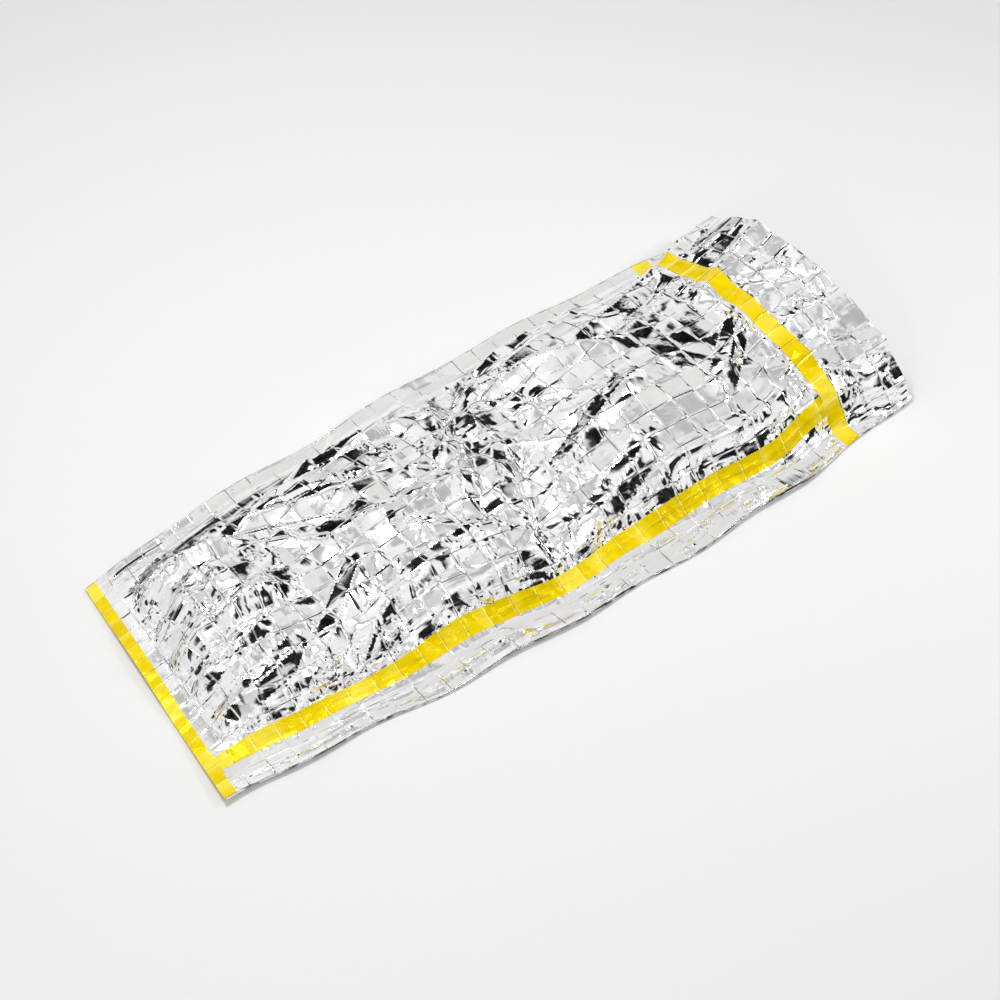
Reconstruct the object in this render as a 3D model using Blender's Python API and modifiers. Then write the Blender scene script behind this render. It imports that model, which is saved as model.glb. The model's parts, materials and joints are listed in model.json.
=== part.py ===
"""Emergency sleeping bag of metallised film, laid out on its back with the mouth open.

One sheet of film is folded lengthwise into a flat tube. Its long edges lap on the upper layer,
close to the near fold, under a yellow tape. A second tape goes round the tube near the mouth,
and a third is folded over the foot end and closes it.

Metres, +Z up. The foot is at -X, the mouth at +X, and the lapped seam on the -Y side. The
origin is on the floor, under the middle of the bag.
"""
import math

import bmesh
import bpy
import numpy as np

# The cut sheet and what is fitted to it
LENGTH = 2.10
FLAT_WIDTH = 0.92
FILM_THICKNESS = 0.0012
TAPE_THICKNESS = 0.0010
TAPE_WIDTH = 0.050
TAPE_GAP = 0.0005
LAP_GAP = 0.0005
LAP_WIDTH = 0.020
LAP_BRIDGE = 0.0004

# The packing creases: cells across the flat tube and along it
CELLS_ACROSS = 16
CELLS_ALONG = 32
CELL_ACROSS = FLAT_WIDTH / CELLS_ACROSS
CELL_ALONG = LENGTH / CELLS_ALONG

# Places in the flat tube: across from the near fold, along from the foot end
SEAM_ACROSS = 2 * CELL_ACROSS
BAND_END = LENGTH - 3 * CELL_ALONG
BAND_START = BAND_END - TAPE_WIDTH
FOOT_TAPE_UNDER = 0.018
TAPE_BUTT = 0.001

# How the layers lie on the floor
MARGIN_HEIGHT = 0.0062
TAPE_FLOOR_GAP = 0.0003
FLOOR_LIFT_AT_TAPE = TAPE_FLOOR_GAP + TAPE_THICKNESS + TAPE_GAP

# The laid shape, in rows along the bag: the floor outline, the height of the air in it, the
# flat share of the upper layer at each fold, the share over which it then lifts off, where its
# crest is, how square its back is, and how much it is crumpled
STATION_COLUMNS = ("along", "near_edge", "far_edge", "loft", "near_flat", "far_flat", "skirt",
                   "crest", "squareness", "crumple")
STATIONS = (
    (0.00, -0.380, 0.360, 0.000, 0.10, 0.08, 0.12, 0.46, 1.10, 0.30),
    (0.07, -0.380, 0.368, 0.012, 0.10, 0.08, 0.12, 0.46, 1.05, 0.90),
    (0.18, -0.385, 0.385, 0.098, 0.10, 0.06, 0.14, 0.50, 0.80, 1.90),
    (0.30, -0.395, 0.400, 0.122, 0.10, 0.05, 0.15, 0.54, 0.70, 1.80),
    (0.48, -0.415, 0.415, 0.100, 0.09, 0.04, 0.16, 0.46, 0.70, 1.20),
    (0.74, -0.435, 0.430, 0.126, 0.08, 0.03, 0.16, 0.52, 0.65, 0.90),
    (0.98, -0.445, 0.440, 0.140, 0.08, 0.03, 0.16, 0.47, 0.65, 1.10),
    (1.14, -0.452, 0.445, 0.096, 0.09, 0.04, 0.16, 0.53, 0.75, 1.40),
    (1.34, -0.450, 0.450, 0.142, 0.08, 0.03, 0.16, 0.50, 0.65, 1.00),
    (1.58, -0.445, 0.450, 0.160, 0.07, 0.03, 0.15, 0.47, 0.60, 0.80),
    (1.78, -0.430, 0.440, 0.148, 0.05, 0.02, 0.13, 0.49, 0.60, 0.90),
    (1.90, -0.415, 0.425, 0.168, 0.03, 0.02, 0.10, 0.51, 0.56, 0.90),
    (2.02, -0.400, 0.410, 0.204, 0.01, 0.01, 0.05, 0.53, 0.52, 1.10),
    (2.10, -0.392, 0.402, 0.228, 0.00, 0.00, 0.03, 0.54, 0.50, 1.10),
)

# The main folds of the upper layer: ridges, or troughs where the height is negative, each from
# one point of the flat tube to another
FOLD_COLUMNS = ("along_1", "across_1", "along_2", "across_2", "height", "half_width")
FOLDS = (
    (0.05, 0.20, 0.40, 0.30, 0.026, 0.040),
    (0.06, 0.34, 0.34, 0.39, 0.022, 0.034),
    (0.05, 0.47, 0.44, 0.46, 0.030, 0.044),
    (0.07, 0.60, 0.30, 0.57, 0.020, 0.034),
    (0.05, 0.74, 0.46, 0.65, 0.026, 0.040),
    (0.16, 0.30, 0.26, 0.66, -0.022, 0.040),
    (0.30, 0.18, 0.66, 0.44, 0.026, 0.044),
    (0.34, 0.82, 0.74, 0.54, -0.026, 0.050),
    (0.46, 0.24, 0.98, 0.33, 0.018, 0.036),
    (0.56, 0.52, 1.06, 0.43, 0.024, 0.042),
    (0.62, 0.84, 1.04, 0.70, 0.022, 0.040),
    (0.88, 0.30, 1.10, 0.62, -0.022, 0.044),
    (1.00, 0.18, 1.16, 0.50, -0.028, 0.048),
    (1.02, 0.54, 1.18, 0.88, -0.026, 0.048),
    (1.06, 0.16, 1.44, 0.30, 0.028, 0.042),
    (1.12, 0.34, 1.54, 0.47, 0.022, 0.040),
    (1.14, 0.74, 1.58, 0.55, 0.026, 0.044),
    (1.22, 0.86, 1.68, 0.80, 0.020, 0.036),
    (1.34, 0.22, 1.82, 0.21, 0.016, 0.034),
    (1.46, 0.60, 1.86, 0.75, -0.024, 0.048),
    (1.60, 0.30, 1.86, 0.45, 0.022, 0.040),
    (1.78, 0.56, 2.10, 0.63, 0.024, 0.044),
    (1.84, 0.25, 2.10, 0.18, 0.022, 0.036),
    (1.88, 0.41, 2.10, 0.36, -0.022, 0.044),
    (1.86, 0.78, 2.10, 0.84, 0.020, 0.036),
)

# The foot edge runs at a slant, and the arch of the mouth leans back
FOOT_SLANT = 0.085
FOOT_SLANT_REACH = 0.50
MOUTH_SETBACK = 0.030

# The seam and the long creases wander sideways. Waves are given in radians for each metre
SEAM_DRIFT = 0.014
SEAM_DRIFT_WAVE = 10.5
SEAM_DRIFT_REACH = 0.50
EDGE_WOBBLE = 0.006
NEAR_WOBBLE_WAVE = 17.0
FAR_WOBBLE_WAVE = 14.0

# The lower layer lifts off the floor in waves along its rims
RIM_COLUMNS = ("height", "reach", "wave", "start")
RIMS = {
    "foot": (0.009, 0.15, 14.0, 2.0),
    "mouth": (0.009, 0.14, 16.0, -0.8),
    "near": (0.009, 0.075, 9.0, 1.6),
    "far": (0.009, 0.075, 8.0, 0.0),
}

# Rows over which the lower layer rises onto a tape and comes down from it
FOOT_RAMP = (0.036, 0.066)
BAND_RAMP_BEFORE = 0.015
BAND_RAMP_AFTER = 0.032

# Crease relief at a crumple of 1: heights at the crossings and in the middle of a cell
CROSSING_HEIGHT = 0.0050
CROSSING_LIMIT = 1.6
CELL_CROWN = 0.0042
CREASE_SEED = 7

# Where the two layers lie together the relief is slight. It is whole from this height up
MARGIN_CRUMPLE = 0.20
FULL_RELIEF_HEIGHT = 0.020
DEEPEST_MARGIN_DENT = 0.0010
DEEPEST_DENT_SHARE = 0.60
FOLD_FADE = 0.25

# Fineness of the section curves, and the step over which a direction is measured
PROFILE_SAMPLES = 481
STEP = 0.002


def smooth(x):
    """Rise from 0 to 1 with level ends."""
    x = np.clip(x, 0.0, 1.0)
    return x * x * (3.0 - 2.0 * x)


def station(name, along):
    """Read one column of the stations, on a curve through its rows."""
    column = STATION_COLUMNS.index(name)
    places = np.array([row[0] for row in STATIONS])
    values = np.array([row[column] for row in STATIONS])
    slopes = np.gradient(values, places)
    right = np.clip(np.searchsorted(places, along), 1, len(places) - 1)
    left = right - 1
    span = places[right] - places[left]
    u = np.clip((along - places[left]) / span, 0.0, 1.0)
    return ((2 * u**3 - 3 * u**2 + 1) * values[left] + (u**3 - 2 * u**2 + u) * span * slopes[left]
            + (3 * u**2 - 2 * u**3) * values[right] + (u**3 - u**2) * span * slopes[right])


def outline(along):
    """Return the near and the far edge of the bag on the floor."""
    near = station("near_edge", along) + EDGE_WOBBLE * np.sin(along * NEAR_WOBBLE_WAVE + 1.0)
    far = station("far_edge", along) + EDGE_WOBBLE * np.sin(along * FAR_WOBBLE_WAVE)
    return near, far


def rim_lift(name, distance, run):
    """Height of one rim's waves, by the distance from the rim and the run along it."""
    rim = dict(zip(RIM_COLUMNS, RIMS[name]))
    fade = np.clip(1 - distance / rim["reach"], 0, 1) ** 2
    return rim["height"] * fade * (0.5 - 0.5 * np.cos(run * rim["wave"] + rim["start"]))


def floor_lift(y, along):
    """Height of the lower layer, which lies flat but for its rims."""
    near, far = outline(along)
    return (rim_lift("foot", along, y) + rim_lift("mouth", LENGTH - along, y)
            + rim_lift("near", y - near, along) + rim_lift("far", far - y, along))


def tape_lift(along):
    """Height that the lower layer gains where a tape passes under it."""
    foot = 1 - smooth((along - FOOT_RAMP[0]) / (FOOT_RAMP[1] - FOOT_RAMP[0]))
    before = smooth((along - BAND_START) / BAND_RAMP_BEFORE + 1)
    after = 1 - smooth((along - BAND_END) / BAND_RAMP_AFTER)
    return FLOOR_LIFT_AT_TAPE * np.maximum(foot, before * after)


def foot_shift(y, along):
    """Shift along the bag, which slants the foot edge."""
    near, far = outline(along)
    return FOOT_SLANT * (1 - smooth(along / FOOT_SLANT_REACH)) * (y - near) / (far - near)


def lay_upper(across, along):
    """Places of the upper layer without its relief, one row for each place along the bag."""
    near, far = outline(along)
    fold_radius = 0.5 * MARGIN_HEIGHT
    q = np.linspace(0.0, 1.0, PROFILE_SAMPLES)
    places = np.zeros((len(along), len(across), 3))
    for row, v in enumerate(along):
        near_flat = station("near_flat", v)
        far_flat = station("far_flat", v)
        p = np.clip((q - near_flat) / (1 - near_flat - far_flat), 0.0, 1.0)
        skirt = smooth(np.minimum(p, 1 - p) / station("skirt", v))
        p = p ** (math.log(0.5) / math.log(station("crest", v)))
        arch = np.maximum(np.sin(math.pi * p), 0.0) ** station("squareness", v)
        loft = station("loft", v) * skirt * arch
        y = near[row] + fold_radius + q * (far[row] - near[row] - 2 * fold_radius)
        z = MARGIN_HEIGHT + floor_lift(y, v) + loft
        reach = np.concatenate(([0.0], np.cumsum(np.hypot(np.diff(y), np.diff(z)))))
        sway = np.sin(math.pi * np.clip(across / SEAM_DRIFT_REACH, 0, 1))
        drift = SEAM_DRIFT * math.sin(v * SEAM_DRIFT_WAVE + 0.6) * sway
        wanted = (across + drift) / FLAT_WIDTH * reach[-1]
        places[row, :, 1] = np.interp(wanted, reach, y)
        places[row, :, 2] = np.interp(wanted, reach, z)
        setback = MOUTH_SETBACK * smooth((v - BAND_END) / (LENGTH - BAND_END))
        lean = setback * np.interp(wanted, reach, loft) / station("loft", LENGTH)
        places[row, :, 0] = v - LENGTH / 2 + foot_shift(places[row, :, 1], v) - lean
    return places


def upper_normals(across, along):
    """Outward directions of the upper layer without its relief."""
    by_across = lay_upper(across + STEP, along) - lay_upper(across - STEP, along)
    by_along = (lay_upper(across, np.clip(along + STEP, 0, LENGTH))
                - lay_upper(across, np.clip(along - STEP, 0, LENGTH)))
    normals = np.cross(by_along, by_across)
    return normals / np.linalg.norm(normals, axis=2, keepdims=True)


def crease_relief(across, along):
    """Relief of the packing creases: tilted cells with a crown or a dip in each."""
    random = np.random.default_rng(CREASE_SEED)
    crossings = random.normal(size=(CELLS_ALONG + 1, CELLS_ACROSS + 1))
    crossings = np.clip(crossings, -CROSSING_LIMIT, CROSSING_LIMIT)
    crowns = random.uniform(-1.0, 1.0, size=(CELLS_ALONG, CELLS_ACROSS))
    a, b = np.meshgrid(np.clip(across / CELL_ACROSS, 0, CELLS_ACROSS - 1e-6),
                       np.clip(along / CELL_ALONG, 0, CELLS_ALONG - 1e-6))
    i, j = a.astype(int), b.astype(int)
    fa, fb = a - i, b - j
    tilt = (crossings[j, i] * (1 - fa) * (1 - fb) + crossings[j, i + 1] * fa * (1 - fb)
            + crossings[j + 1, i] * (1 - fa) * fb + crossings[j + 1, i + 1] * fa * fb)
    crown = crowns[j, i] * (1 - np.abs(2 * fa - 1)) * (1 - np.abs(2 * fb - 1))
    return CROSSING_HEIGHT * tilt + CELL_CROWN * crown


def fold_relief(across, along):
    """Relief of the main folds, each a tent that fades out at its ends but for the mouth."""
    t, v = np.meshgrid(across, along)
    relief = np.zeros_like(t)
    for row in FOLDS:
        fold = dict(zip(FOLD_COLUMNS, row))
        run = np.array((fold["along_2"] - fold["along_1"], fold["across_2"] - fold["across_1"]))
        length = np.linalg.norm(run)
        run = run / length
        dv, dt = v - fold["along_1"], t - fold["across_1"]
        on = (dv * run[0] + dt * run[1]) / length
        off = np.abs(dt * run[0] - dv * run[1])
        ends = smooth(on / FOLD_FADE)
        if fold["along_2"] < LENGTH:
            ends = ends * smooth((1 - on) / FOLD_FADE)
        relief += fold["height"] * ends * np.clip(1 - off / fold["half_width"], 0, 1)
    return relief


def upper_points(across, along):
    """Places of the film's upper layer with its folds and creases."""
    across, along = np.asarray(across, float), np.asarray(along, float)
    places = lay_upper(across, along)
    normals = upper_normals(across, along)
    height = places[:, :, 2] - MARGIN_HEIGHT - floor_lift(places[:, :, 1], along[:, None])
    raised = smooth(height / FULL_RELIEF_HEIGHT)
    crumple = station("crumple", along)[:, None] * (MARGIN_CRUMPLE + (1 - MARGIN_CRUMPLE) * raised)
    relief = crumple * crease_relief(across, along) + raised * fold_relief(across, along)
    relief = np.maximum(relief, -DEEPEST_MARGIN_DENT - DEEPEST_DENT_SHARE * height)
    return places + normals * relief[:, :, None]


def floor_points(y_share, along):
    """Places of the lower layer, by share of the width between the two folds."""
    y_share, along = np.asarray(y_share, float), np.asarray(along, float)
    near, far = outline(along)
    fold_radius = 0.5 * MARGIN_HEIGHT
    y = (near + fold_radius)[:, None] + (far - near - 2 * fold_radius)[:, None] * y_share
    v = np.repeat(along[:, None], len(y_share), axis=1)
    x = v - LENGTH / 2 + foot_shift(y, v)
    return np.stack((x, y, floor_lift(y, v) + tape_lift(v)), axis=2)


def fold_points(side, along):
    """Places of the outermost line of a side fold, halfway between the two layers."""
    along = np.asarray(along, float)
    edge = outline(along)[0 if side < 0 else 1]
    inner = edge - side * 0.5 * MARGIN_HEIGHT
    low = floor_lift(inner, along) + tape_lift(along)
    high = floor_lift(inner, along) + MARGIN_HEIGHT
    x = along - LENGTH / 2 + foot_shift(edge, along)
    return np.stack((x, edge, 0.5 * (low + high)), axis=1)[:, None, :]


# Lines of the model's mesh across the upper layer: the seam's own, then half cells
SEAM_LINES = (0.0, 0.5 * CELL_ACROSS, CELL_ACROSS, SEAM_ACROSS - TAPE_WIDTH / 2,
              SEAM_ACROSS - LAP_WIDTH / 2, SEAM_ACROSS, SEAM_ACROSS + LAP_WIDTH / 2,
              SEAM_ACROSS + TAPE_WIDTH / 2)
TAPE_NEAR, LAP_NEAR, LAP_FAR, TAPE_FAR = 3, 4, 6, 7
FIRST_HALF_LINE = 6
ACROSS_LINES = SEAM_LINES + tuple(0.5 * CELL_ACROSS * n
                                  for n in range(FIRST_HALF_LINE, 2 * CELLS_ACROSS + 1))

# Lines along the bag: every crease, half cells at the foot, the lap and the hood, the foot
# tape's lower edge, and the band's edges in place of the line under it
HALF_CELL_SPANS = ((0.00, 0.56), (0.92, 1.26), (1.76, 2.10))
HALF_LINES = [0.5 * CELL_ALONG * n for n in range(2 * CELLS_ALONG + 1)
              if n % 2 == 0 or any(low < 0.5 * CELL_ALONG * n < high for low, high in HALF_CELL_SPANS)]
ROW_LINES = tuple(sorted(
    [line for line in HALF_LINES if not BAND_START < line < BAND_END - 1e-6]
    + [FOOT_TAPE_UNDER, BAND_START, BAND_START + TAPE_WIDTH / 2]))
FOOT_ROW = 2
BAND_ROW = ROW_LINES.index(BAND_START)
BAND_ROWS = 3

# Lines across the lower layer, by share of its width
FLOOR_LINES = (0.0, 0.03) + tuple(np.linspace(0.08, 0.92, 15)) + (0.97, 1.0)
FLOOR_MIDDLE = 9
BAND_ENDS_GAP = 0.001


# The outer layer lies over the inner one at the lap, and comes down past the seam
LAP_SETTLES_FROM = 0.18
LAP_SETTLES_OVER = 0.20


def lap_lift(across):
    """Height of the outer layer over the inner one."""
    settled = smooth((np.asarray(across) - LAP_SETTLES_FROM) / LAP_SETTLES_OVER)
    return (LAP_GAP + FILM_THICKNESS) * (1 - settled)


def make_material(name, colour, metallic, roughness):
    """Make the one material of an object."""
    material = bpy.data.materials.new(name)
    material.use_nodes = True
    shader = material.node_tree.nodes["Principled BSDF"]
    shader.inputs["Base Color"].default_value = (*colour, 1.0)
    shader.inputs["Metallic"].default_value = metallic
    shader.inputs["Roughness"].default_value = roughness
    return material


def sheet_object(name, points, column_ids, row_ids, thickness, material, collection):
    """Make one sheet: a grid laid on the given points, and its thickness towards the inside."""
    rows, columns = points.shape[:2]
    bm = bmesh.new()
    bmesh.ops.create_grid(bm, x_segments=columns - 1, y_segments=rows - 1, size=1.0)
    for vertex, place in zip(bm.verts, points.reshape(-1, 3)):
        vertex.co = place
    slants = ([], [])
    for index, face in enumerate(bm.faces):
        row, column = divmod(index, columns - 1)
        slants[(column_ids[column] + row_ids[row]) % 2].append(face)
    bmesh.ops.triangulate(bm, faces=slants[0], quad_method="FIXED")
    bmesh.ops.triangulate(bm, faces=slants[1], quad_method="ALTERNATE")
    mesh = bpy.data.meshes.new(name)
    bm.to_mesh(mesh)
    bm.free()
    mesh.materials.append(material)
    sheet = bpy.data.objects.new(name, mesh)
    collection.objects.link(sheet)
    solidify = sheet.modifiers.new("thickness", "SOLIDIFY")
    solidify.thickness = thickness
    solidify.offset = -1.0
    solidify.use_even_offset = False
    return sheet


def upper_sheet(line_ids, along, offsets):
    """Places on the upper layer at the given lines, raised off it by the given offsets."""
    places = upper_points(ACROSS_LINES, along)
    normals = np.cross(np.gradient(places, axis=0), np.gradient(places, axis=1))
    normals /= np.linalg.norm(normals, axis=2, keepdims=True)
    return places[:, line_ids] + normals[:, line_ids] * np.asarray(offsets)[None, :, None]


def make_film(collection):
    """The sheet, from its inner edge at the seam round under the bag to its outer edge."""
    material = make_material("metallised_film", (0.86, 0.87, 0.88), 1.0, 0.16)
    last = len(ACROSS_LINES) - 1
    inner_ids = list(range(LAP_FAR, -1, -1))
    outer_ids = list(range(last, LAP_NEAR - 1, -1))
    outer_lines = np.array([ACROSS_LINES[n] for n in outer_ids])
    points = np.concatenate((
        upper_sheet(inner_ids, ROW_LINES, np.zeros(len(inner_ids))),
        fold_points(-1, ROW_LINES),
        floor_points(FLOOR_LINES, ROW_LINES),
        fold_points(1, ROW_LINES),
        upper_sheet(outer_ids, ROW_LINES, lap_lift(outer_lines)),
    ), axis=1)
    column_ids = inner_ids + [0] + list(range(len(FLOOR_LINES))) + [0] + outer_ids
    return sheet_object("film", points, column_ids, range(len(ROW_LINES)), FILM_THICKNESS,
                        material, collection)


def tape_offsets(line_ids):
    """Height of a tape's outer face over the inner layer: it steps up over the outer one's edge."""
    offsets = []
    for n in line_ids:
        step = lap_lift(ACROSS_LINES[n]) if n >= LAP_NEAR else 0.0
        bridge = LAP_BRIDGE if n == LAP_NEAR else 0.0
        offsets.append(TAPE_GAP + TAPE_THICKNESS + step + bridge)
    return offsets


def make_seam_tape(material, collection):
    """The tape over the lap, from the foot tape to the band."""
    ids = list(range(TAPE_FAR, TAPE_NEAR - 1, -1))
    rows = ([ROW_LINES[FOOT_ROW] + TAPE_BUTT] + list(ROW_LINES[FOOT_ROW + 1:BAND_ROW])
            + [BAND_START - TAPE_BUTT])
    points = upper_sheet(ids, rows, tape_offsets(ids))
    return sheet_object("seam_tape", points, ids, range(FOOT_ROW, BAND_ROW + 1),
                        TAPE_THICKNESS, material, collection)


def make_band(material, collection):
    """The tape round the tube near the mouth. Its ends meet under the bag."""
    rows = ROW_LINES[BAND_ROW:BAND_ROW + BAND_ROWS]
    ids = list(range(len(ACROSS_LINES) - 1, -1, -1))
    outward = TAPE_GAP + TAPE_THICKNESS
    middle = FLOOR_LINES[FLOOR_MIDDLE]
    far_half = floor_points((middle + BAND_ENDS_GAP,) + FLOOR_LINES[FLOOR_MIDDLE + 1:], rows)
    near_half = floor_points(FLOOR_LINES[:FLOOR_MIDDLE] + (middle - BAND_ENDS_GAP,), rows)
    sides = []
    for side in (1, -1):
        fold = fold_points(side, rows)
        fold[:, :, 1] += side * outward
        sides.append(fold)
    for half in (far_half, near_half):
        half[:, :, 2] -= outward
    points = np.concatenate((far_half, sides[0], upper_sheet(ids, rows, tape_offsets(ids)),
                             sides[1], near_half), axis=1)
    column_ids = [0] * (far_half.shape[1] + 1) + ids + [0] * (near_half.shape[1] + 1)
    return sheet_object("hood_band", points, column_ids, range(BAND_ROW, BAND_ROW + BAND_ROWS),
                        TAPE_THICKNESS, material, collection)


def make_foot_tape(material, collection):
    """The tape folded over the foot end."""
    ids = list(range(len(ACROSS_LINES) - 1, -1, -1))
    rows = ROW_LINES[:FOOT_ROW] + (ROW_LINES[FOOT_ROW] - TAPE_BUTT,)
    outward = TAPE_GAP + TAPE_THICKNESS
    over = upper_sheet(ids, rows, tape_offsets(ids))
    film = floor_points(FLOOR_LINES, rows[:FOOT_ROW])
    y = over[0, :, 1]
    under = np.stack([np.stack((np.interp(y, line[:, 1], line[:, 0]), y,
                                np.interp(y, line[:, 1], line[:, 2]) - outward), axis=1)
                      for line in film])
    end_x = np.minimum(under[0, :, 0], over[0, :, 0]) - outward
    low_corner, high_corner = under[0].copy(), over[0].copy()
    low_corner[:, 0] = high_corner[:, 0] = end_x
    points = np.concatenate((under[::-1], low_corner[None], high_corner[None], over))
    return sheet_object("foot_tape", points, ids, (0, 0, 0, 1, 0, 1, 0), TAPE_THICKNESS,
                        material, collection)


def main():
    for item in list(bpy.data.objects):
        bpy.data.objects.remove(item, do_unlink=True)
    collection = bpy.data.collections.new("emergency_sleeping_bag")
    bpy.context.scene.collection.children.link(collection)
    make_film(collection)
    for name, make in (("seam_tape", make_seam_tape), ("hood_band", make_band),
                       ("foot_tape", make_foot_tape)):
        make(make_material(name + "_yellow", (0.93, 0.80, 0.02), 0.0, 0.30), collection)


main()
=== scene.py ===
# %% [markdown]
# # An emergency sleeping bag of metallised film
# The real thing is one sheet of mirror-bright plastic film, folded lengthwise into a flat tube.
# A yellow tape holds its lapped edges, a second one goes round it near the mouth, and a third
# closes the foot. It comes out of its pack creased in a grid.
#
# A mirror has no colour of its own, so nearly all that shows is its shape and what stands
# round it. This lesson therefore spends its effort on two things: creases that are really in
# the mesh, and a studio with light and dark zones for the film to reflect.

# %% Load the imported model
import json
import math

import bmesh
import bpy
import numpy as np
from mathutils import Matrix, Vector

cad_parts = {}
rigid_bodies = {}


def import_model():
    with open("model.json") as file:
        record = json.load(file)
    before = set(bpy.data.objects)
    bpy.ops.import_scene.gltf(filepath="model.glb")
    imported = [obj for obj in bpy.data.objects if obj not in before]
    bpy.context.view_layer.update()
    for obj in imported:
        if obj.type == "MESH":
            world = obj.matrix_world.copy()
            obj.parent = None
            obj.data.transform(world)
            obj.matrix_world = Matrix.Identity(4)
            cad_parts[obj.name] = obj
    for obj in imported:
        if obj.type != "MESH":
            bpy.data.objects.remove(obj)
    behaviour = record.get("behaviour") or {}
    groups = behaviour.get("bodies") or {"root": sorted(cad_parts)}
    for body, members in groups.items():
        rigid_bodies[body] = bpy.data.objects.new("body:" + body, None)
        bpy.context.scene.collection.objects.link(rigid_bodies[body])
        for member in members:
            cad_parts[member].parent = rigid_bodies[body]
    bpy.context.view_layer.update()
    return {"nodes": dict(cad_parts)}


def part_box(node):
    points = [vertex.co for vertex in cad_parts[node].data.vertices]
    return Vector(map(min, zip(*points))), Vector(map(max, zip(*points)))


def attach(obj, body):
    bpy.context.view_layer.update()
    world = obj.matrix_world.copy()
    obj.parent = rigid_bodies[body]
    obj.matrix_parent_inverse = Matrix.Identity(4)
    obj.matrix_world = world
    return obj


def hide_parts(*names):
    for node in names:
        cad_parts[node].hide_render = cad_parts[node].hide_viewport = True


for item in list(bpy.data.objects):
    bpy.data.objects.remove(item, do_unlink=True)
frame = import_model()
print("packed nodes:", sorted(frame["nodes"]))

# %% [markdown]
# ## Helpers for node trees
# Every finish below is a small node tree. These helpers add a node, and take either a number
# or another node's output as an input, so that a finish reads as a short list of steps.


# %% Helpers for node trees
def put(tree, socket, value):
    """Set an input to a number or colour, or link it to another node's output."""
    if isinstance(value, bpy.types.NodeSocket):
        tree.links.new(value, socket)
    else:
        socket.default_value = value


def add_node(tree, kind, inputs=(), **settings):
    """Add one node, with its settings and its inputs by name or number."""
    node = tree.nodes.new(kind)
    for name, value in settings.items():
        setattr(node, name, value)
    for name, value in dict(inputs).items():
        put(tree, node.inputs[name], value)
    return node


def calculate(tree, operation, *values, clamp=False):
    """Add a Math node and return its result."""
    inputs = dict(enumerate(values))
    return add_node(tree, "ShaderNodeMath", inputs, operation=operation, use_clamp=clamp).outputs[0]


def times(tree, first, second):
    """Multiply two values."""
    return calculate(tree, "MULTIPLY", first, second)


def plus(tree, first, *others):
    """Add up two values or more."""
    for other in others:
        first = calculate(tree, "ADD", first, other)
    return first


def remap(tree, value, low, high, to_low=0.0, to_high=1.0):
    """Map a range to another one, and keep the result inside it."""
    inputs = {"Value": value, "From Min": low, "From Max": high,
              "To Min": to_low, "To Max": to_high}
    return add_node(tree, "ShaderNodeMapRange", inputs).outputs["Result"]


def mix_colours(tree, share, first, second):
    """Mix two colours."""
    node = add_node(tree, "ShaderNodeMix", data_type="RGBA")
    put(tree, node.inputs["Factor"], share)
    put(tree, node.inputs["A"], first)
    put(tree, node.inputs["B"], second)
    return node.outputs["Result"]


def noise(tree, place, scale, detail):
    """Add a Noise texture and return its grey value."""
    inputs = {"Vector": place, "Scale": scale, "Detail": detail}
    return add_node(tree, "ShaderNodeTexNoise", inputs).outputs["Fac"]


# %% [markdown]
# ## The camera
# The bag lies on the floor with its foot at the lower left and its hood at the upper right, as
# it runs in the picture that this lesson follows. The camera stands above it, on the side of
# the taped seam. A long lens keeps the near and the far end in proportion.

# %% The camera
CAMERA_AZIMUTH = math.radians(-38)
CAMERA_ELEVATION = math.radians(47)
CAMERA_DISTANCE = 6.1
CAMERA_LENS = 90
CAMERA_TARGET = Vector((-0.04, -0.07, 0.07))

scene = bpy.context.scene
camera = bpy.data.objects.new("camera", bpy.data.cameras.new("camera"))
scene.collection.objects.link(camera)
scene.camera = camera
camera.data.lens = CAMERA_LENS
view_back = Vector((math.sin(CAMERA_AZIMUTH) * math.cos(CAMERA_ELEVATION),
                    -math.cos(CAMERA_AZIMUTH) * math.cos(CAMERA_ELEVATION),
                    math.sin(CAMERA_ELEVATION)))
camera.location = CAMERA_TARGET + view_back * CAMERA_DISTANCE
camera.rotation_euler = view_back.to_track_quat("Z", "Y").to_euler()
scene.view_settings.view_transform = "Standard"
print("camera at", [round(c, 2) for c in camera.location])

# %% [markdown]
# ## The studio
# A pale floor, soft lamps and pale walls make the film bright. What makes it read as metal is
# contrast, so the walls also have dark zones and small white screens, as a real studio has
# black cards and lamps. Cards and screens on stands would be in the way when the camera moves
# round the bag. Here they are part of the surround, and only reflections show them.

# %% The studio floor
FLOOR_SIZE = 60.0
FLOOR_DROP = 0.0005
FLOOR_GREY = 0.775
FLOOR_ROUGHNESS = 0.9

floor_mesh = bmesh.new()
bmesh.ops.create_grid(floor_mesh, x_segments=1, y_segments=1, size=FLOOR_SIZE / 2)
floor_data = bpy.data.meshes.new("studio_floor")
floor_mesh.to_mesh(floor_data)
floor_mesh.free()
floor = bpy.data.objects.new("studio_floor", floor_data)
scene.collection.objects.link(floor)
floor.location.z = -FLOOR_DROP

floor_paint = bpy.data.materials.new("floor_paint")
floor_paint.use_nodes = True
paint = floor_paint.node_tree.nodes["Principled BSDF"]
paint.inputs["Base Color"].default_value = (FLOOR_GREY, FLOOR_GREY, FLOOR_GREY, 1.0)
paint.inputs["Roughness"].default_value = FLOOR_ROUGHNESS
floor_data.materials.append(floor_paint)
print("floor:", FLOOR_SIZE, "m square, grey", FLOOR_GREY)

# %% The directions of the surround
world = bpy.data.worlds.new("surround")
world.use_nodes = True
scene.world = world
tree = world.node_tree
direction = add_node(tree, "ShaderNodeTexCoord").outputs["Generated"]
east, north, height = add_node(tree, "ShaderNodeSeparateXYZ", {0: direction}).outputs
azimuth = calculate(tree, "ARCTAN2", north, east)


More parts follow.
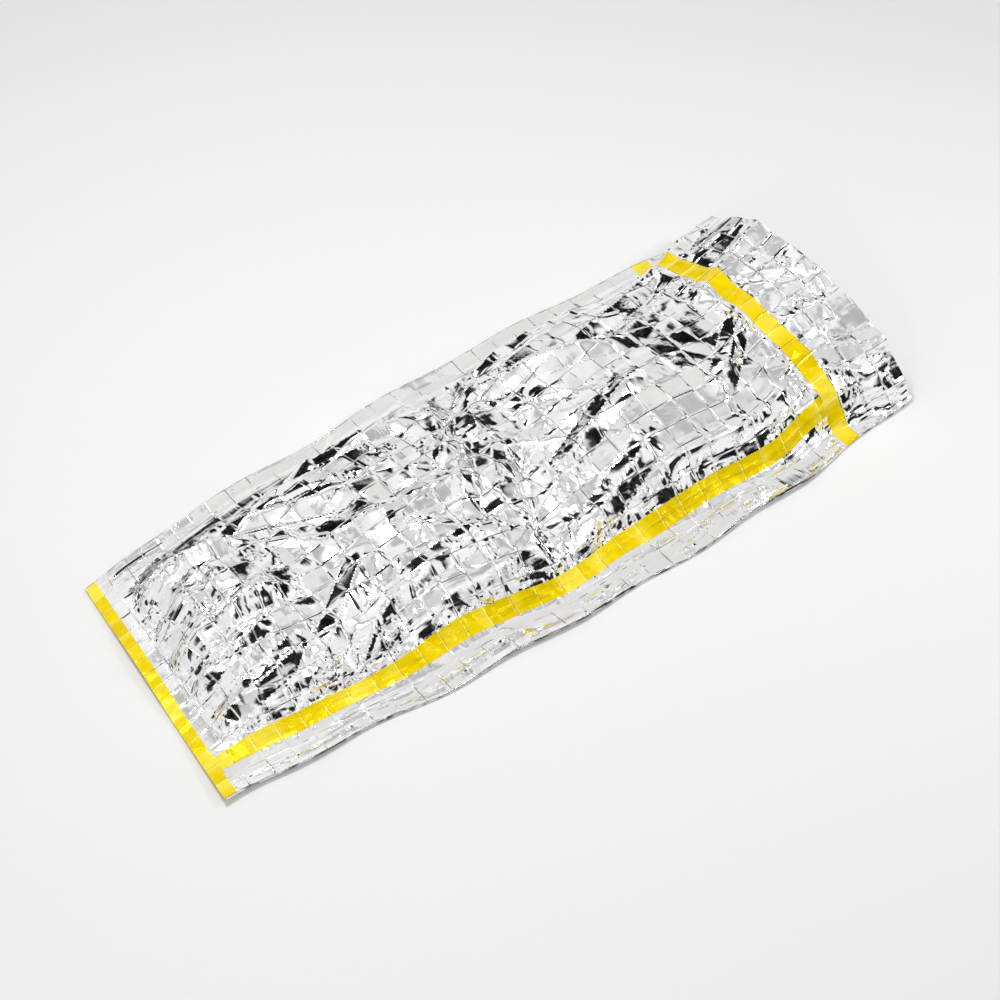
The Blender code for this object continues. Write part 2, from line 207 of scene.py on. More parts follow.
def angle_from(toward):
    """Angle between the seen direction and a given one."""
    facing = add_node(tree, "ShaderNodeVectorMath", {0: direction, 1: toward},
                      operation="DOT_PRODUCT").outputs["Value"]
    return calculate(tree, "ARCCOSINE", facing)


# %% The dark zones
# Each row: two compass angles in degrees, and two heights from 0 at the floor to 1 overhead.
DARK_ZONES = (
    (-150, -118, 0.08, 0.48),
    (-80, -52, 0.05, 0.60),
    (-20, 8, 0.06, 0.50),
    (30, 48, 0.10, 0.53),
    (73, 99, 0.06, 0.54),
    (112, 119, 0.05, 0.44),
    (152, 168, 0.08, 0.40),
    (-120, 60, 0.885, 0.905),
    (60, 240, 0.80, 0.815),
)
DARK_EDGE = 0.085


def dark_zone(start, end, low, high):
    """1 inside one dark zone, which fades out over a narrow edge."""
    middle, half = math.radians((start + end) / 2), math.radians((end - start) / 2)
    turned = calculate(tree, "SUBTRACT", azimuth, middle)
    turned = calculate(tree, "WRAP", turned, math.pi, -math.pi)
    beside = remap(tree, calculate(tree, "ABSOLUTE", turned), half, half + DARK_EDGE, 1.0, 0.0)
    above = remap(tree, height, low, low + DARK_EDGE)
    below = remap(tree, height, high, high + DARK_EDGE, 1.0, 0.0)
    return times(tree, beside, times(tree, above, below))


dark = 0.0
for zone in DARK_ZONES:
    dark = calculate(tree, "MAXIMUM", dark, dark_zone(*zone))
print("dark zones:", len(DARK_ZONES))

# %% The pale walls
# The veil is a satin patch of the surround, which the flat margins of the film reflect.
WALL_GREY = 0.60
WALL_LIGHT = 0.93
WALL_SCALE = 2.1
WALL_DETAIL = 1.5
WALL_RANGE = (0.34, 0.62)
VEIL_TOWARD = Vector((0.42, 0.54, 0.73)).normalized()
VEIL_ANGLES = (5, 17)
VEIL_LIGHT = (0.775, 0.765, 0.745, 1.0)

pale = remap(tree, noise(tree, direction, WALL_SCALE, WALL_DETAIL), *WALL_RANGE,
             WALL_GREY, WALL_LIGHT)
veil = remap(tree, angle_from(VEIL_TOWARD), *np.radians(VEIL_ANGLES), 1.0, 0.0)
pale = mix_colours(tree, veil, pale, VEIL_LIGHT)
print("walls from", WALL_GREY, "to", WALL_LIGHT)

# %% The white screens
# Each row: a direction, half the angle of the screen in degrees, and how bright it is.
WHITE_SCREENS = (
    ((0.80, 0.25, 0.62), 4, 5.0),
    ((0.05, 0.85, 0.70), 4, 3.0),
    ((-0.55, 0.10, 0.85), 4, 1.6),
    ((0.20, -0.60, 0.80), 4, 1.6),
)
SCREEN_EDGE = 2
HALO = 18
HALO_LIGHT = (1.0, 1.0, 1.0, 1.0)

screens = 0.0
for toward, half_angle, light in WHITE_SCREENS:
    angle = angle_from(Vector(toward).normalized())
    inner = math.radians(half_angle)
    screen = remap(tree, angle, inner, inner + math.radians(SCREEN_EDGE), light, 0.0)
    halo = remap(tree, angle, inner, inner + math.radians(HALO), 1.0, 0.0)
    pale = mix_colours(tree, halo, pale, HALO_LIGHT)
    screens = calculate(tree, "MAXIMUM", screens, screen)
print("white screens:", len(WHITE_SCREENS))

# %% The surround put together
DARK_GREYS = (0.005, 0.075)
STREAK_SCALE = 16.0
STREAK_DETAIL = 3.0
STREAK_RANGE = (0.50, 0.72)
BACKDROP = (0.92, 0.92, 0.92, 1.0)
DIFFUSE_SHARE = 0.69

streaks = noise(tree, direction, STREAK_SCALE, STREAK_DETAIL)
seen = mix_colours(tree, dark, pale, remap(tree, streaks, *STREAK_RANGE, *DARK_GREYS))
seen = add_node(tree, "ShaderNodeVectorMath", {0: seen, 1: screens},
                operation="MAXIMUM").outputs[0]
path = add_node(tree, "ShaderNodeLightPath").outputs
background = tree.nodes["Background"].inputs
put(tree, background["Strength"],
    remap(tree, path["Is Diffuse Ray"], 0.0, 1.0, 1.0, DIFFUSE_SHARE))
put(tree, background["Color"], mix_colours(tree, path["Is Camera Ray"], seen, BACKDROP))
print("the surround lights dull surfaces by", DIFFUSE_SHARE, "of what shiny ones reflect")


# %% The studio lamps
def soft_lamp(name, place, size, power):
    """A square lamp that points at the bag."""
    data = bpy.data.lights.new(name, "AREA")
    data.shape = "SQUARE"
    data.size = size
    data.energy = power
    lamp = bpy.data.objects.new(name, data)
    lamp.location = place
    lamp.rotation_euler = Vector(place).to_track_quat("Z", "Y").to_euler()
    lamp.visible_camera = False
    scene.collection.objects.link(lamp)
    print(name, "of", power, "W at", place)


soft_lamp("lamp_overhead", (-0.4, 1.2, 4.4), 1.1, 108.0)
soft_lamp("lamp_side", (-3.0, -2.2, 2.6), 0.8, 24.0)
soft_lamp("lamp_mouth", (2.7, -1.7, 2.6), 0.8, 36.0)

# %% [markdown]
# ## The sizes of the bag
# The flat bag is 2.10 m long and 0.92 m wide. Its packing creases divide it into 16 cells
# across and 32 along. Two numbers place a point on the film: how far across it lies from the
# near fold, and how far along from the foot.

# %% The sizes of the bag
LENGTH = 2.10
FLAT_WIDTH = 0.92
FILM_THICKNESS = 0.0003
TAPE_THICKNESS = 0.0003
TAPE_WIDTH = 0.050
TAPE_GAP = 0.0002
LAP_GAP = 0.0003
LAP_WIDTH = 0.020

CELLS_ACROSS = 16
CELLS_ALONG = 32
CELL_ACROSS = FLAT_WIDTH / CELLS_ACROSS
CELL_ALONG = LENGTH / CELLS_ALONG

SEAM_ACROSS = 2 * CELL_ACROSS
BAND_END = LENGTH - 3 * CELL_ALONG
BAND_START = BAND_END - TAPE_WIDTH
FOOT_TAPE_UNDER = 0.018
FOOT_TAPE_OVER = 0.5 * CELL_ALONG - 0.001
TAPE_BUTT = 0.001

MARGIN_HEIGHT = 0.0062
FLOOR_LIFT_AT_TAPE = 0.0018
low_corner, high_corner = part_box("film")
print("film node is", round(high_corner.x - low_corner.x, 3), "m long, cut length", LENGTH)

# %% [markdown]
# ## The shape in which the bag lies
# Ten named columns describe the laid tube at fourteen places: where its two folds lie on the
# floor, how high the air in it lifts the upper layer, how wide its flat margins are, and how
# crumpled it is. A smooth curve runs through the rows, so a short table shapes the whole bag,
# and the taped seam strays a little to each side. A cloth simulation could blow such a tube up
# too, but it wouldn't keep these forms and the size of the film.

# %% The table of the laid shape
STATION_COLUMNS = ("along", "near_edge", "far_edge", "loft", "near_flat", "far_flat", "skirt",
                   "crest", "squareness", "crumple")
STATIONS = (
    (0.00, -0.380, 0.360, 0.000, 0.10, 0.08, 0.12, 0.46, 1.10, 0.30),
    (0.07, -0.380, 0.368, 0.012, 0.10, 0.08, 0.12, 0.46, 1.05, 0.90),
    (0.18, -0.385, 0.385, 0.098, 0.10, 0.06, 0.14, 0.50, 0.80, 1.15),
    (0.30, -0.395, 0.400, 0.122, 0.10, 0.05, 0.15, 0.54, 0.70, 1.10),
    (0.48, -0.415, 0.415, 0.100, 0.09, 0.04, 0.16, 0.46, 0.70, 1.25),
    (0.74, -0.435, 0.430, 0.126, 0.08, 0.03, 0.16, 0.52, 0.65, 1.30),
    (0.98, -0.445, 0.440, 0.140, 0.08, 0.03, 0.16, 0.47, 0.65, 1.20),
    (1.14, -0.452, 0.445, 0.096, 0.09, 0.04, 0.16, 0.53, 0.75, 1.40),
    (1.34, -0.450, 0.450, 0.142, 0.08, 0.03, 0.16, 0.50, 0.65, 1.00),
    (1.58, -0.445, 0.450, 0.160, 0.07, 0.03, 0.15, 0.47, 0.60, 0.80),
    (1.78, -0.430, 0.440, 0.148, 0.05, 0.02, 0.13, 0.49, 0.60, 0.90),
    (1.90, -0.415, 0.425, 0.168, 0.03, 0.02, 0.10, 0.51, 0.56, 0.90),
    (2.02, -0.400, 0.410, 0.204, 0.01, 0.01, 0.05, 0.53, 0.52, 1.10),
    (2.10, -0.392, 0.402, 0.228, 0.00, 0.00, 0.03, 0.54, 0.50, 1.10),
)


def smooth(x):
    """Rise from 0 to 1 with level ends."""
    x = np.clip(x, 0.0, 1.0)
    return x * x * (3.0 - 2.0 * x)


def ramp(place, start, length):
    """Rise from 0 at the start to 1 after a length."""
    return smooth((place - start) / length)


def station(name, along):
    """Read one column of the stations, on a curve through its rows."""
    column = STATION_COLUMNS.index(name)
    places = np.array([row[0] for row in STATIONS])
    values = np.array([row[column] for row in STATIONS])
    slopes = np.gradient(values, places)
    right = np.clip(np.searchsorted(places, along), 1, len(places) - 1)
    left = right - 1
    span = places[right] - places[left]
    u = np.clip((along - places[left]) / span, 0.0, 1.0)
    return ((2 * u**3 - 3 * u**2 + 1) * values[left] + (u**3 - 2 * u**2 + u) * span * slopes[left]
            + (3 * u**2 - 2 * u**3) * values[right] + (u**3 - u**2) * span * slopes[right])


# %% The outline on the floor
FOOT_SLANT = 0.085
FOOT_SLANT_REACH = 0.50
EDGE_WOBBLE = 0.006
NEAR_WOBBLE_WAVE = 17.0
NEAR_WOBBLE_START = 1.0
FAR_WOBBLE_WAVE = 14.0


def outline(along):
    """Return the near and the far edge of the bag on the floor."""
    wobble = EDGE_WOBBLE * np.sin(along * NEAR_WOBBLE_WAVE + NEAR_WOBBLE_START)
    near = station("near_edge", along) + wobble
    far = station("far_edge", along) + EDGE_WOBBLE * np.sin(along * FAR_WOBBLE_WAVE)
    return near, far


def foot_shift(y, along):
    """Shift along the bag, which slants the foot edge."""
    near, far = outline(along)
    return FOOT_SLANT * (1 - smooth(along / FOOT_SLANT_REACH)) * (y - near) / (far - near)


print("edges at the middle:", [round(float(y), 3) for y in outline(LENGTH / 2)])

# %% How high the lower layer lies
RIM_COLUMNS = ("height", "reach", "wave", "start")
RIMS = {
    "foot": (0.009, 0.15, 14.0, 2.0),
    "mouth": (0.009, 0.14, 16.0, -0.8),
    "near": (0.009, 0.075, 9.0, 1.6),
    "far": (0.009, 0.075, 8.0, 0.0),
}
FOOT_RAMP = (0.036, 0.066)
BAND_RAMP_BEFORE = 0.015
BAND_RAMP_AFTER = 0.032


def rim_lift(name, distance, run):
    """Height of one rim's waves, by the distance from the rim and the run along it."""
    rim = dict(zip(RIM_COLUMNS, RIMS[name]))
    fade = np.clip(1 - distance / rim["reach"], 0, 1) ** 2
    return rim["height"] * fade * (0.5 - 0.5 * np.cos(run * rim["wave"] + rim["start"]))


def floor_lift(y, along):
    """Height of the lower layer, which lies flat but for its rims."""
    near, far = outline(along)
    return (rim_lift("foot", along, y) + rim_lift("mouth", LENGTH - along, y)
            + rim_lift("near", y - near, along) + rim_lift("far", far - y, along))


def tape_lift(along):
    """Height that the lower layer gains where a tape passes under it."""
    foot = 1 - smooth((along - FOOT_RAMP[0]) / (FOOT_RAMP[1] - FOOT_RAMP[0]))
    before = smooth((along - BAND_START) / BAND_RAMP_BEFORE + 1)
    after = 1 - smooth((along - BAND_END) / BAND_RAMP_AFTER)
    return FLOOR_LIFT_AT_TAPE * np.maximum(foot, before * after)


print("the foot edge stands", round(float(floor_lift(0.0, 0.0)) * 1000, 1), "mm high at its middle")

# %% Seeds
# All that is random has a seed of its own, so every run makes the same bag.
SEEDS = {"seam": 83, "tilted cells": 7, "grid lines": 11, "crinkles": 23, "broken cells": 31,
         "large facets": 41, "small facets": 42, "stars": 71, "panels": 37, "tape creases": 61,
         "tucks": 97, "slanted creases": 101, "loose creases": 53, "margin wrinkles": 59}


def seeded(name):
    """A random number generator of its own for each kind of crease."""
    return np.random.default_rng(SEEDS[name])


# %% How the seam strays from a straight line
SEAM_DRIFT = 0.014
SEAM_DRIFT_WAVE = 10.5
SEAM_DRIFT_START = 0.6
SEAM_DRIFT_REACH = 0.50
SEAM_KINKS = 24
SEAM_KINK = 0.0045
SEAM_KINK_GAPS = (0.045, 0.13)

random = seeded("seam")
kink_places = np.cumsum(random.uniform(*SEAM_KINK_GAPS, size=SEAM_KINKS))
kink_shifts = random.uniform(-SEAM_KINK, SEAM_KINK, size=SEAM_KINKS)
print("the seam bends at", SEAM_KINKS, "places, up to", round(kink_places[-1], 2), "m")


def seam_drift(across, along):
    """How far the film is shifted towards the far side, most of all near the seam."""
    sway = np.sin(math.pi * np.clip(across / SEAM_DRIFT_REACH, 0, 1))
    return (SEAM_DRIFT * math.sin(along * SEAM_DRIFT_WAVE + SEAM_DRIFT_START)
            + np.interp(along, kink_places, kink_shifts)) * sway


# %% The upper layer before it is creased
MOUTH_SETBACK = 0.030
PROFILE_SAMPLES = 481


def lay_upper(across, along):
    """Places of the upper layer without its relief, one row for each place along the bag."""
    near, far = outline(along)
    fold_radius = 0.5 * MARGIN_HEIGHT
    q = np.linspace(0.0, 1.0, PROFILE_SAMPLES)
    places = np.zeros((len(along), len(across), 3))
    for row, v in enumerate(along):
        near_flat = station("near_flat", v)
        far_flat = station("far_flat", v)
        p = np.clip((q - near_flat) / (1 - near_flat - far_flat), 0.0, 1.0)
        skirt = smooth(np.minimum(p, 1 - p) / station("skirt", v))
        p = p ** (math.log(0.5) / math.log(station("crest", v)))
        arch = np.maximum(np.sin(math.pi * p), 0.0) ** station("squareness", v)
        loft = station("loft", v) * skirt * arch
        y = near[row] + fold_radius + q * (far[row] - near[row] - 2 * fold_radius)
        z = MARGIN_HEIGHT + floor_lift(y, v) + loft
        reach = np.concatenate(([0.0], np.cumsum(np.hypot(np.diff(y), np.diff(z)))))
        wanted = (across + seam_drift(across, v)) / FLAT_WIDTH * reach[-1]
        places[row, :, 1] = np.interp(wanted, reach, y)
        places[row, :, 2] = np.interp(wanted, reach, z)
        setback = MOUTH_SETBACK * smooth((v - BAND_END) / (LENGTH - BAND_END))
        lean = setback * np.interp(wanted, reach, loft) / station("loft", LENGTH)
        places[row, :, 0] = v - LENGTH / 2 + foot_shift(places[row, :, 1], v) - lean
    return places


# %% The outward directions of the upper layer
STEP = 0.002


def upper_normals(across, along):
    """Outward directions of the upper layer without its relief."""
    by_across = lay_upper(across + STEP, along) - lay_upper(across - STEP, along)
    by_along = (lay_upper(across, np.clip(along + STEP, 0, LENGTH))
                - lay_upper(across, np.clip(along - STEP, 0, LENGTH)))
    normals = np.cross(by_along, by_across)
    return normals / np.linalg.norm(normals, axis=2, keepdims=True)


# %% [markdown]
# ## The lines of the mesh
# A crease is only as crisp as the mesh lines that carry it. So the lines aren't evenly spread:
# each packing crease has a line of its own and one close by on either side, the edges of the
# tapes and of the lap have theirs, and even steps fill the rest. A subdivided mesh would put
# most of its faces where the film is flat.

# %% The lines of the mesh
CREASE_HALF = 0.0018
STEP_ACROSS = 0.0049
STEP_ALONG = 0.0036
TINY = 1e-6


def spread_lines(marks, step):
    """Lines at every mark, with even steps between them."""
    marks = np.unique(np.round(marks, 6))
    lines = [marks[:1]]
    for low, high in zip(marks[:-1], marks[1:]):
        count = max(1, math.ceil((high - low) / step - TINY))
        lines.append(np.linspace(low, high, count + 1)[1:])
    return np.concatenate(lines)


def crease_marks(cell, count):
    """Marks at each packing crease and close by it, inside the sheet."""
    middles = cell * np.arange(count + 1)
    marks = np.concatenate((middles, middles - CREASE_HALF, middles + CREASE_HALF))
    return marks[(marks > -TINY) & (marks < cell * count + TINY)]


# %% All lines across and along
TAPE_NEAR = SEAM_ACROSS - TAPE_WIDTH / 2
TAPE_FAR = SEAM_ACROSS + TAPE_WIDTH / 2
LAP_NEAR = SEAM_ACROSS - LAP_WIDTH / 2
LAP_FAR = SEAM_ACROSS + LAP_WIDTH / 2
SEAM_FROM = FOOT_TAPE_OVER + TAPE_BUTT
SEAM_TO = BAND_START - TAPE_BUTT
ACROSS = spread_lines(np.concatenate((crease_marks(CELL_ACROSS, CELLS_ACROSS),
                                      (TAPE_NEAR, LAP_NEAR, LAP_FAR, TAPE_FAR))), STEP_ACROSS)
ALONG = spread_lines(np.concatenate((crease_marks(CELL_ALONG, CELLS_ALONG),
                                     (FOOT_TAPE_UNDER, FOOT_TAPE_OVER, SEAM_FROM, SEAM_TO,
                                      BAND_START))), STEP_ALONG)
T, V = np.meshgrid(ACROSS, ALONG)
print("mesh lines:", len(ACROSS), "across and", len(ALONG), "along")


def line_at(lines, place):
    """Number of the line at a place."""
    return int(np.argmin(np.abs(lines - place)))


# %% [markdown]
# ## Packing creases and main folds
# The film was folded into a small packet, so its cells lie tilted against each other and each
# has a slight crown. The main folds are tents: straight flanks that rise to one sharp line.
# Displacement by a picture could do this too, but straight flanks are what foil really has.

# %% Packing creases
CROSSING_HEIGHT = 0.0050
CROSSING_LIMIT = 1.6
CELL_CROWN = 0.0042

cell_i = np.minimum((T / CELL_ACROSS + TINY).astype(int), CELLS_ACROSS - 1)
cell_j = np.minimum((V / CELL_ALONG + TINY).astype(int), CELLS_ALONG - 1)
share_i = T / CELL_ACROSS - cell_i
share_j = V / CELL_ALONG - cell_j


def tilted_cells():
    """Relief of the packing creases: tilted cells with a crown or a dip in each."""
    random = seeded("tilted cells")
    crossings = random.normal(size=(CELLS_ALONG + 1, CELLS_ACROSS + 1))
    crossings = np.clip(crossings, -CROSSING_LIMIT, CROSSING_LIMIT)
    crowns = random.uniform(-1.0, 1.0, size=(CELLS_ALONG, CELLS_ACROSS))
    i, j, fa, fb = cell_i, cell_j, share_i, share_j
    tilt = (crossings[j, i] * (1 - fa) * (1 - fb) + crossings[j, i + 1] * fa * (1 - fb)
            + crossings[j + 1, i] * (1 - fa) * fb + crossings[j + 1, i + 1] * fa * fb)
    crown = crowns[j, i] * (1 - np.abs(2 * fa - 1)) * (1 - np.abs(2 * fb - 1))
    return CROSSING_HEIGHT * tilt + CELL_CROWN * crown


def measured(name, relief):
    """Print how far a relief goes, and return it."""
    print(f"{name}: {relief.min() * 1000:.1f} to {relief.max() * 1000:.1f} mm")
    return relief


cell_relief = measured("tilted cells", tilted_cells())

# %% The table of the main folds
# Each row: along and across at the start, the same at the end, the height, and half the width.
FOLDS = (
    (0.05, 0.20, 0.40, 0.30, 0.026, 0.040),
    (0.06, 0.34, 0.34, 0.39, 0.022, 0.034),
    (0.05, 0.47, 0.44, 0.46, 0.030, 0.044),
    (0.07, 0.60, 0.30, 0.57, 0.020, 0.034),
    (0.05, 0.74, 0.46, 0.65, 0.026, 0.040),
    (0.16, 0.30, 0.26, 0.66, -0.022, 0.040),
    (0.30, 0.18, 0.66, 0.44, 0.026, 0.044),
    (0.34, 0.82, 0.74, 0.54, -0.026, 0.050),
    (0.46, 0.24, 0.98, 0.33, 0.018, 0.036),
    (0.56, 0.52, 1.06, 0.43, 0.024, 0.042),
    (0.62, 0.84, 1.04, 0.70, 0.022, 0.040),
    (0.88, 0.30, 1.10, 0.62, -0.022, 0.044),
    (1.00, 0.18, 1.16, 0.50, -0.028, 0.048),
    (1.02, 0.54, 1.18, 0.88, -0.026, 0.048),
    (1.06, 0.16, 1.44, 0.30, 0.028, 0.042),
    (1.12, 0.34, 1.54, 0.47, 0.022, 0.040),
    (1.14, 0.74, 1.58, 0.55, 0.026, 0.044),
    (1.22, 0.86, 1.68, 0.80, 0.020, 0.036),
    (1.34, 0.22, 1.82, 0.21, 0.016, 0.034),
    (1.46, 0.60, 1.86, 0.75, -0.024, 0.048),
    (1.60, 0.30, 1.86, 0.45, 0.022, 0.040),
    (1.78, 0.56, 2.10, 0.63, 0.024, 0.044),
    (1.84, 0.25, 2.10, 0.18, 0.022, 0.036),
    (1.88, 0.41, 2.10, 0.36, -0.022, 0.044),
    (1.86, 0.78, 2.10, 0.84, 0.020, 0.036),
)
print("rows of folds:", len(FOLDS))

# %% One crease
FOLD_FADE = 0.25
CREST_ROUND = 0.08


def add_crease(relief, start, end, height, half_width, fade=FOLD_FADE, fade_out=None):
    """Add one tent-shaped crease, from start to end as (along, across), to a relief.

    It fades in and out over a share of its length. A fade_out of 0 leaves its end open.
    The crest is rounded by a share of the half width, so a wide fold runs smoothly.
    """
    low, high = np.minimum(start, end) - half_width, np.maximum(start, end) + half_width
    rows = slice(*np.searchsorted(ALONG, (low[0], high[0])))
    columns = slice(*np.searchsorted(ACROSS, (low[1], high[1])))
    run = np.subtract(end, start)
    length = np.linalg.norm(run)
    run = run / length
    dv, dt = V[rows, columns] - start[0], T[rows, columns] - start[1]
    on = (dv * run[0] + dt * run[1]) / length
    off = np.abs(dt * run[0] - dv * run[1])
    ends = smooth(on / fade)
    if fade_out is None:
        fade_out = fade
    if fade_out > 0:
        ends = ends * smooth((1 - on) / fade_out)
    off = np.hypot(off / half_width, CREST_ROUND) - CREST_ROUND
    reach = math.hypot(1, CREST_ROUND) - CREST_ROUND
    relief[rows, columns] += height * ends * np.clip(1 - off / reach, 0, 1)


# %% Creases at random
def random_crease(random, relief, start, end, heights, half_widths, either_way=False, **fades):
    """Add a crease with a height and a half width from two ranges, up or else either way."""
    height = random.uniform(*heights)
    if either_way:
        height *= random.choice((-1, 1))
    add_crease(relief, start, end, height, random.uniform(*half_widths), **fades)


def run_from(start, turn, length):
    """The end of a crease, by its turn from the length of the bag."""
    return start[0] + length * math.cos(turn), start[1] + length * math.sin(turn)


def creases_along(random, relief, count, along, across, length, turn, **kind):
    """Scatter creases that start in a range of places and run along the bag, slightly turned."""
    for _ in range(count):
        start = (random.uniform(*along), random.uniform(*across))
        end = (start[0] + random.uniform(*length), start[1] + random.normal() * turn)
        random_crease(random, relief, start, end, **kind)


def scattered(name, add_them):
    """Make the relief of one kind of crease, with its own seed."""
    relief = np.zeros_like(V)
    add_them(seeded(name), relief)
    return measured(name, relief)


# %% The main folds
fold_relief = np.zeros_like(V)
for v_1, t_1, v_2, t_2, height_of_fold, half_width in FOLDS:
    open_end = v_2 >= LENGTH
    add_crease(fold_relief, (v_1, t_1), (v_2, t_2), height_of_fold, half_width,
               fade_out=0 if open_end else FOLD_FADE)
measured("main folds", fold_relief)

# %% [markdown]
# ## Grid lines and crinkles
# Every packing crease is a sharp little trough or ridge, of its own depth in each cell. Many
# cells are also crossed by narrow parallel crinkles, gathered towards one side, where the
# packet was pressed. A noise texture would only give soft bumps, so each is laid as a tent.

# %% Grid lines
GRID_LINE_DEPTH = 0.0012


def add_grid_lines(random, relief):
    """A sharp trough or ridge along every packing crease, with its own depth in each cell."""
    lengthwise = random.uniform(-1.0, 1.0, size=(CELLS_ALONG, CELLS_ACROSS + 1))
    crosswise = random.uniform(-1.0, 1.0, size=(CELLS_ALONG + 1, CELLS_ACROSS))
    for i in range(1, CELLS_ACROSS):
        column = line_at(ACROSS, i * CELL_ACROSS)
        relief[:, column] += GRID_LINE_DEPTH * lengthwise[cell_j[:, column], i]
    for j in range(1, CELLS_ALONG):
        row = line_at(ALONG, j * CELL_ALONG)
        relief[row] += GRID_LINE_DEPTH * crosswise[j, cell_i[row]]


grid_relief = scattered("grid lines", add_grid_lines)

# %% Crinkles across the cells
CRINKLED_SHARE = 0.30
CRINKLES_IN_CELL = (3, 7)
CRINKLE = dict(heights=(0.0009, 0.0024), half_widths=(0.0045, 0.0080), either_way=True, fade=0.12)
CRINKLE_REACH = (0.45, 1.0)
CRINKLE_SLANT = 0.007
CRINKLE_EDGE = 0.004
GATHER_SIDE = 0.46
GATHER_SPREAD = 0.5
GATHER_POWER = 1.6


def add_crinkles(random, relief):
    """Narrow parallel ridges across many cells, gathered towards one side of the cell."""
    for j, i in np.ndindex(CELLS_ALONG, CELLS_ACROSS):
        count = random.integers(*CRINKLES_IN_CELL)
        side = random.choice((-1.0, 1.0))
        if random.random() > CRINKLED_SHARE:
            continue
        slant = random.normal() * CRINKLE_SLANT
        for _ in range(count):
            off_side = GATHER_SPREAD * random.random() ** GATHER_POWER
            along = (j + 0.5 + side * (GATHER_SIDE - off_side)) * CELL_ALONG
            reach = random.uniform(*CRINKLE_REACH) * (CELL_ACROSS - 2 * CRINKLE_EDGE)
            near = i * CELL_ACROSS + CRINKLE_EDGE
            if random.random() < 0.5:
                near = (i + 1) * CELL_ACROSS - CRINKLE_EDGE - reach
            random_crease(random, relief, (along - slant, near), (along + slant, near + reach),
                          **CRINKLE)


crinkle_relief = scattered("crinkles", add_crinkles)

# %% [markdown]
# ## Facets and stars
# Where the film is bunched, at the foot, at the hips, by the lap and a little at the mouth, it
# breaks into flat facets, and creases run out from points. A triangle lattice with random
# heights at its corners has the straight edges and flat faces that make foil glitter.

# %% Where the film is bunched
BUNCHED_LEAST = 0.04
BUNCHED_FOOT = (0.16, 0.40)
BUNCHED_HIPS = (0.55, 1.12, 0.10)
BUNCHED_MOUTH = 0.30
BUNCHED_MOUTH_AT = (1.95, 0.10)
BUNCHED_LAP = (0.50, SEAM_ACROSS + 0.05, 0.05)


def hill(place, height, middle, spread):
    """A rounded hill of a given height about a middle."""
    return height * np.exp(-((place - middle) / spread) ** 2)


def how_bunched():
    """How bunched the film is at each place, from 0 to 1."""
    foot = 1 - ramp(V, *BUNCHED_FOOT)
    mouth = BUNCHED_MOUTH * ramp(V, *BUNCHED_MOUTH_AT)
    hips, lap = hill(V, *BUNCHED_HIPS), hill(T, *BUNCHED_LAP)
    return np.clip(BUNCHED_LEAST + foot + hips + mouth + lap, 0.0, 1.0)


bunching = how_bunched()
print("bunched over a half:", round(100 * float((bunching > 0.5).mean())), "% of the film")

# %% A lattice of facets
LATTICE = 64
BENDS_ACROSS = ((0.30, 1.3), (0.22, 2.3))
BENDS_ALONG = ((0.30, 1.2), (0.22, 2.1))


def bent(place, other, bends, starts):
    """Bend one lattice coordinate by two waves that run along the other one."""
    for (amount, wave), start in zip(bends, starts):
        place = place + amount * np.sin(wave * other + start)
    return place


def facets(seed_name, size, turn):
    """A triangle lattice of flat facets with random corner heights, from -1 to 1, bent about."""
    random = seeded(seed_name)
    heights = random.uniform(-1.0, 1.0, size=(LATTICE, LATTICE))
    starts = random.uniform(0, 2 * math.pi, size=4)
    a = (T * math.cos(turn) + V * math.sin(turn)) / size
    b = (V * math.cos(turn) - T * math.sin(turn)) / size
    bent_a, bent_b = bent(a, b, BENDS_ACROSS, starts[:2]), bent(b, a, BENDS_ALONG, starts[2:])
    i, j = np.floor(bent_a).astype(int), np.floor(bent_b).astype(int)
    fa, fb = bent_a - i, bent_b - j
    corner = heights[i % LATTICE, j % LATTICE]
    right = heights[(i + 1) % LATTICE, j % LATTICE]
    up = heights[i % LATTICE, (j + 1) % LATTICE]
    far = heights[(i + 1) % LATTICE, (j + 1) % LATTICE]
    lower = corner + fa * (right - corner) + fb * (up - corner)
    upper = far + (1 - fa) * (up - far) + (1 - fb) * (right - far)
    return np.where(fa + fb < 1, lower, upper)


# %% Facets
LARGE_FACET_HEIGHT = 0.0052
SMALL_FACET_HEIGHT = 0.0010
LARGE_FACETS = ("large facets", 0.060, 0.5)
SMALL_FACETS = ("small facets", 0.033, 1.1)
BROKEN_CELLS = 0.08
BROKEN_AMOUNT = 0.7
BROKEN_EDGE = 0.15


def all_facets():
    """Large and small facets where the film is bunched, and in a few cells elsewhere."""
    broken = seeded("broken cells").random((CELLS_ALONG, CELLS_ACROSS)) < BROKEN_CELLS
    inside = (smooth(np.minimum(share_i, 1 - share_i) / BROKEN_EDGE)
              * smooth(np.minimum(share_j, 1 - share_j) / BROKEN_EDGE))
    amount = np.maximum(bunching, BROKEN_AMOUNT * broken[cell_j, cell_i] * inside)
    return amount * (LARGE_FACET_HEIGHT * facets(*LARGE_FACETS)
                     + SMALL_FACET_HEIGHT * amount * facets(*SMALL_FACETS))


facet_relief = measured("facets", all_facets())

# %% Stars
STARS = 74
STAR_RAYS = (5, 9)
STAR_REACH = (0.020, 0.060)
STAR_TURN = 0.3
STAR_HEIGHT = (0.0014, 0.0032)
STAR_HALF_WIDTH = (0.007, 0.013)
STAR_FADES = dict(fade=0.06, fade_out=0.8)


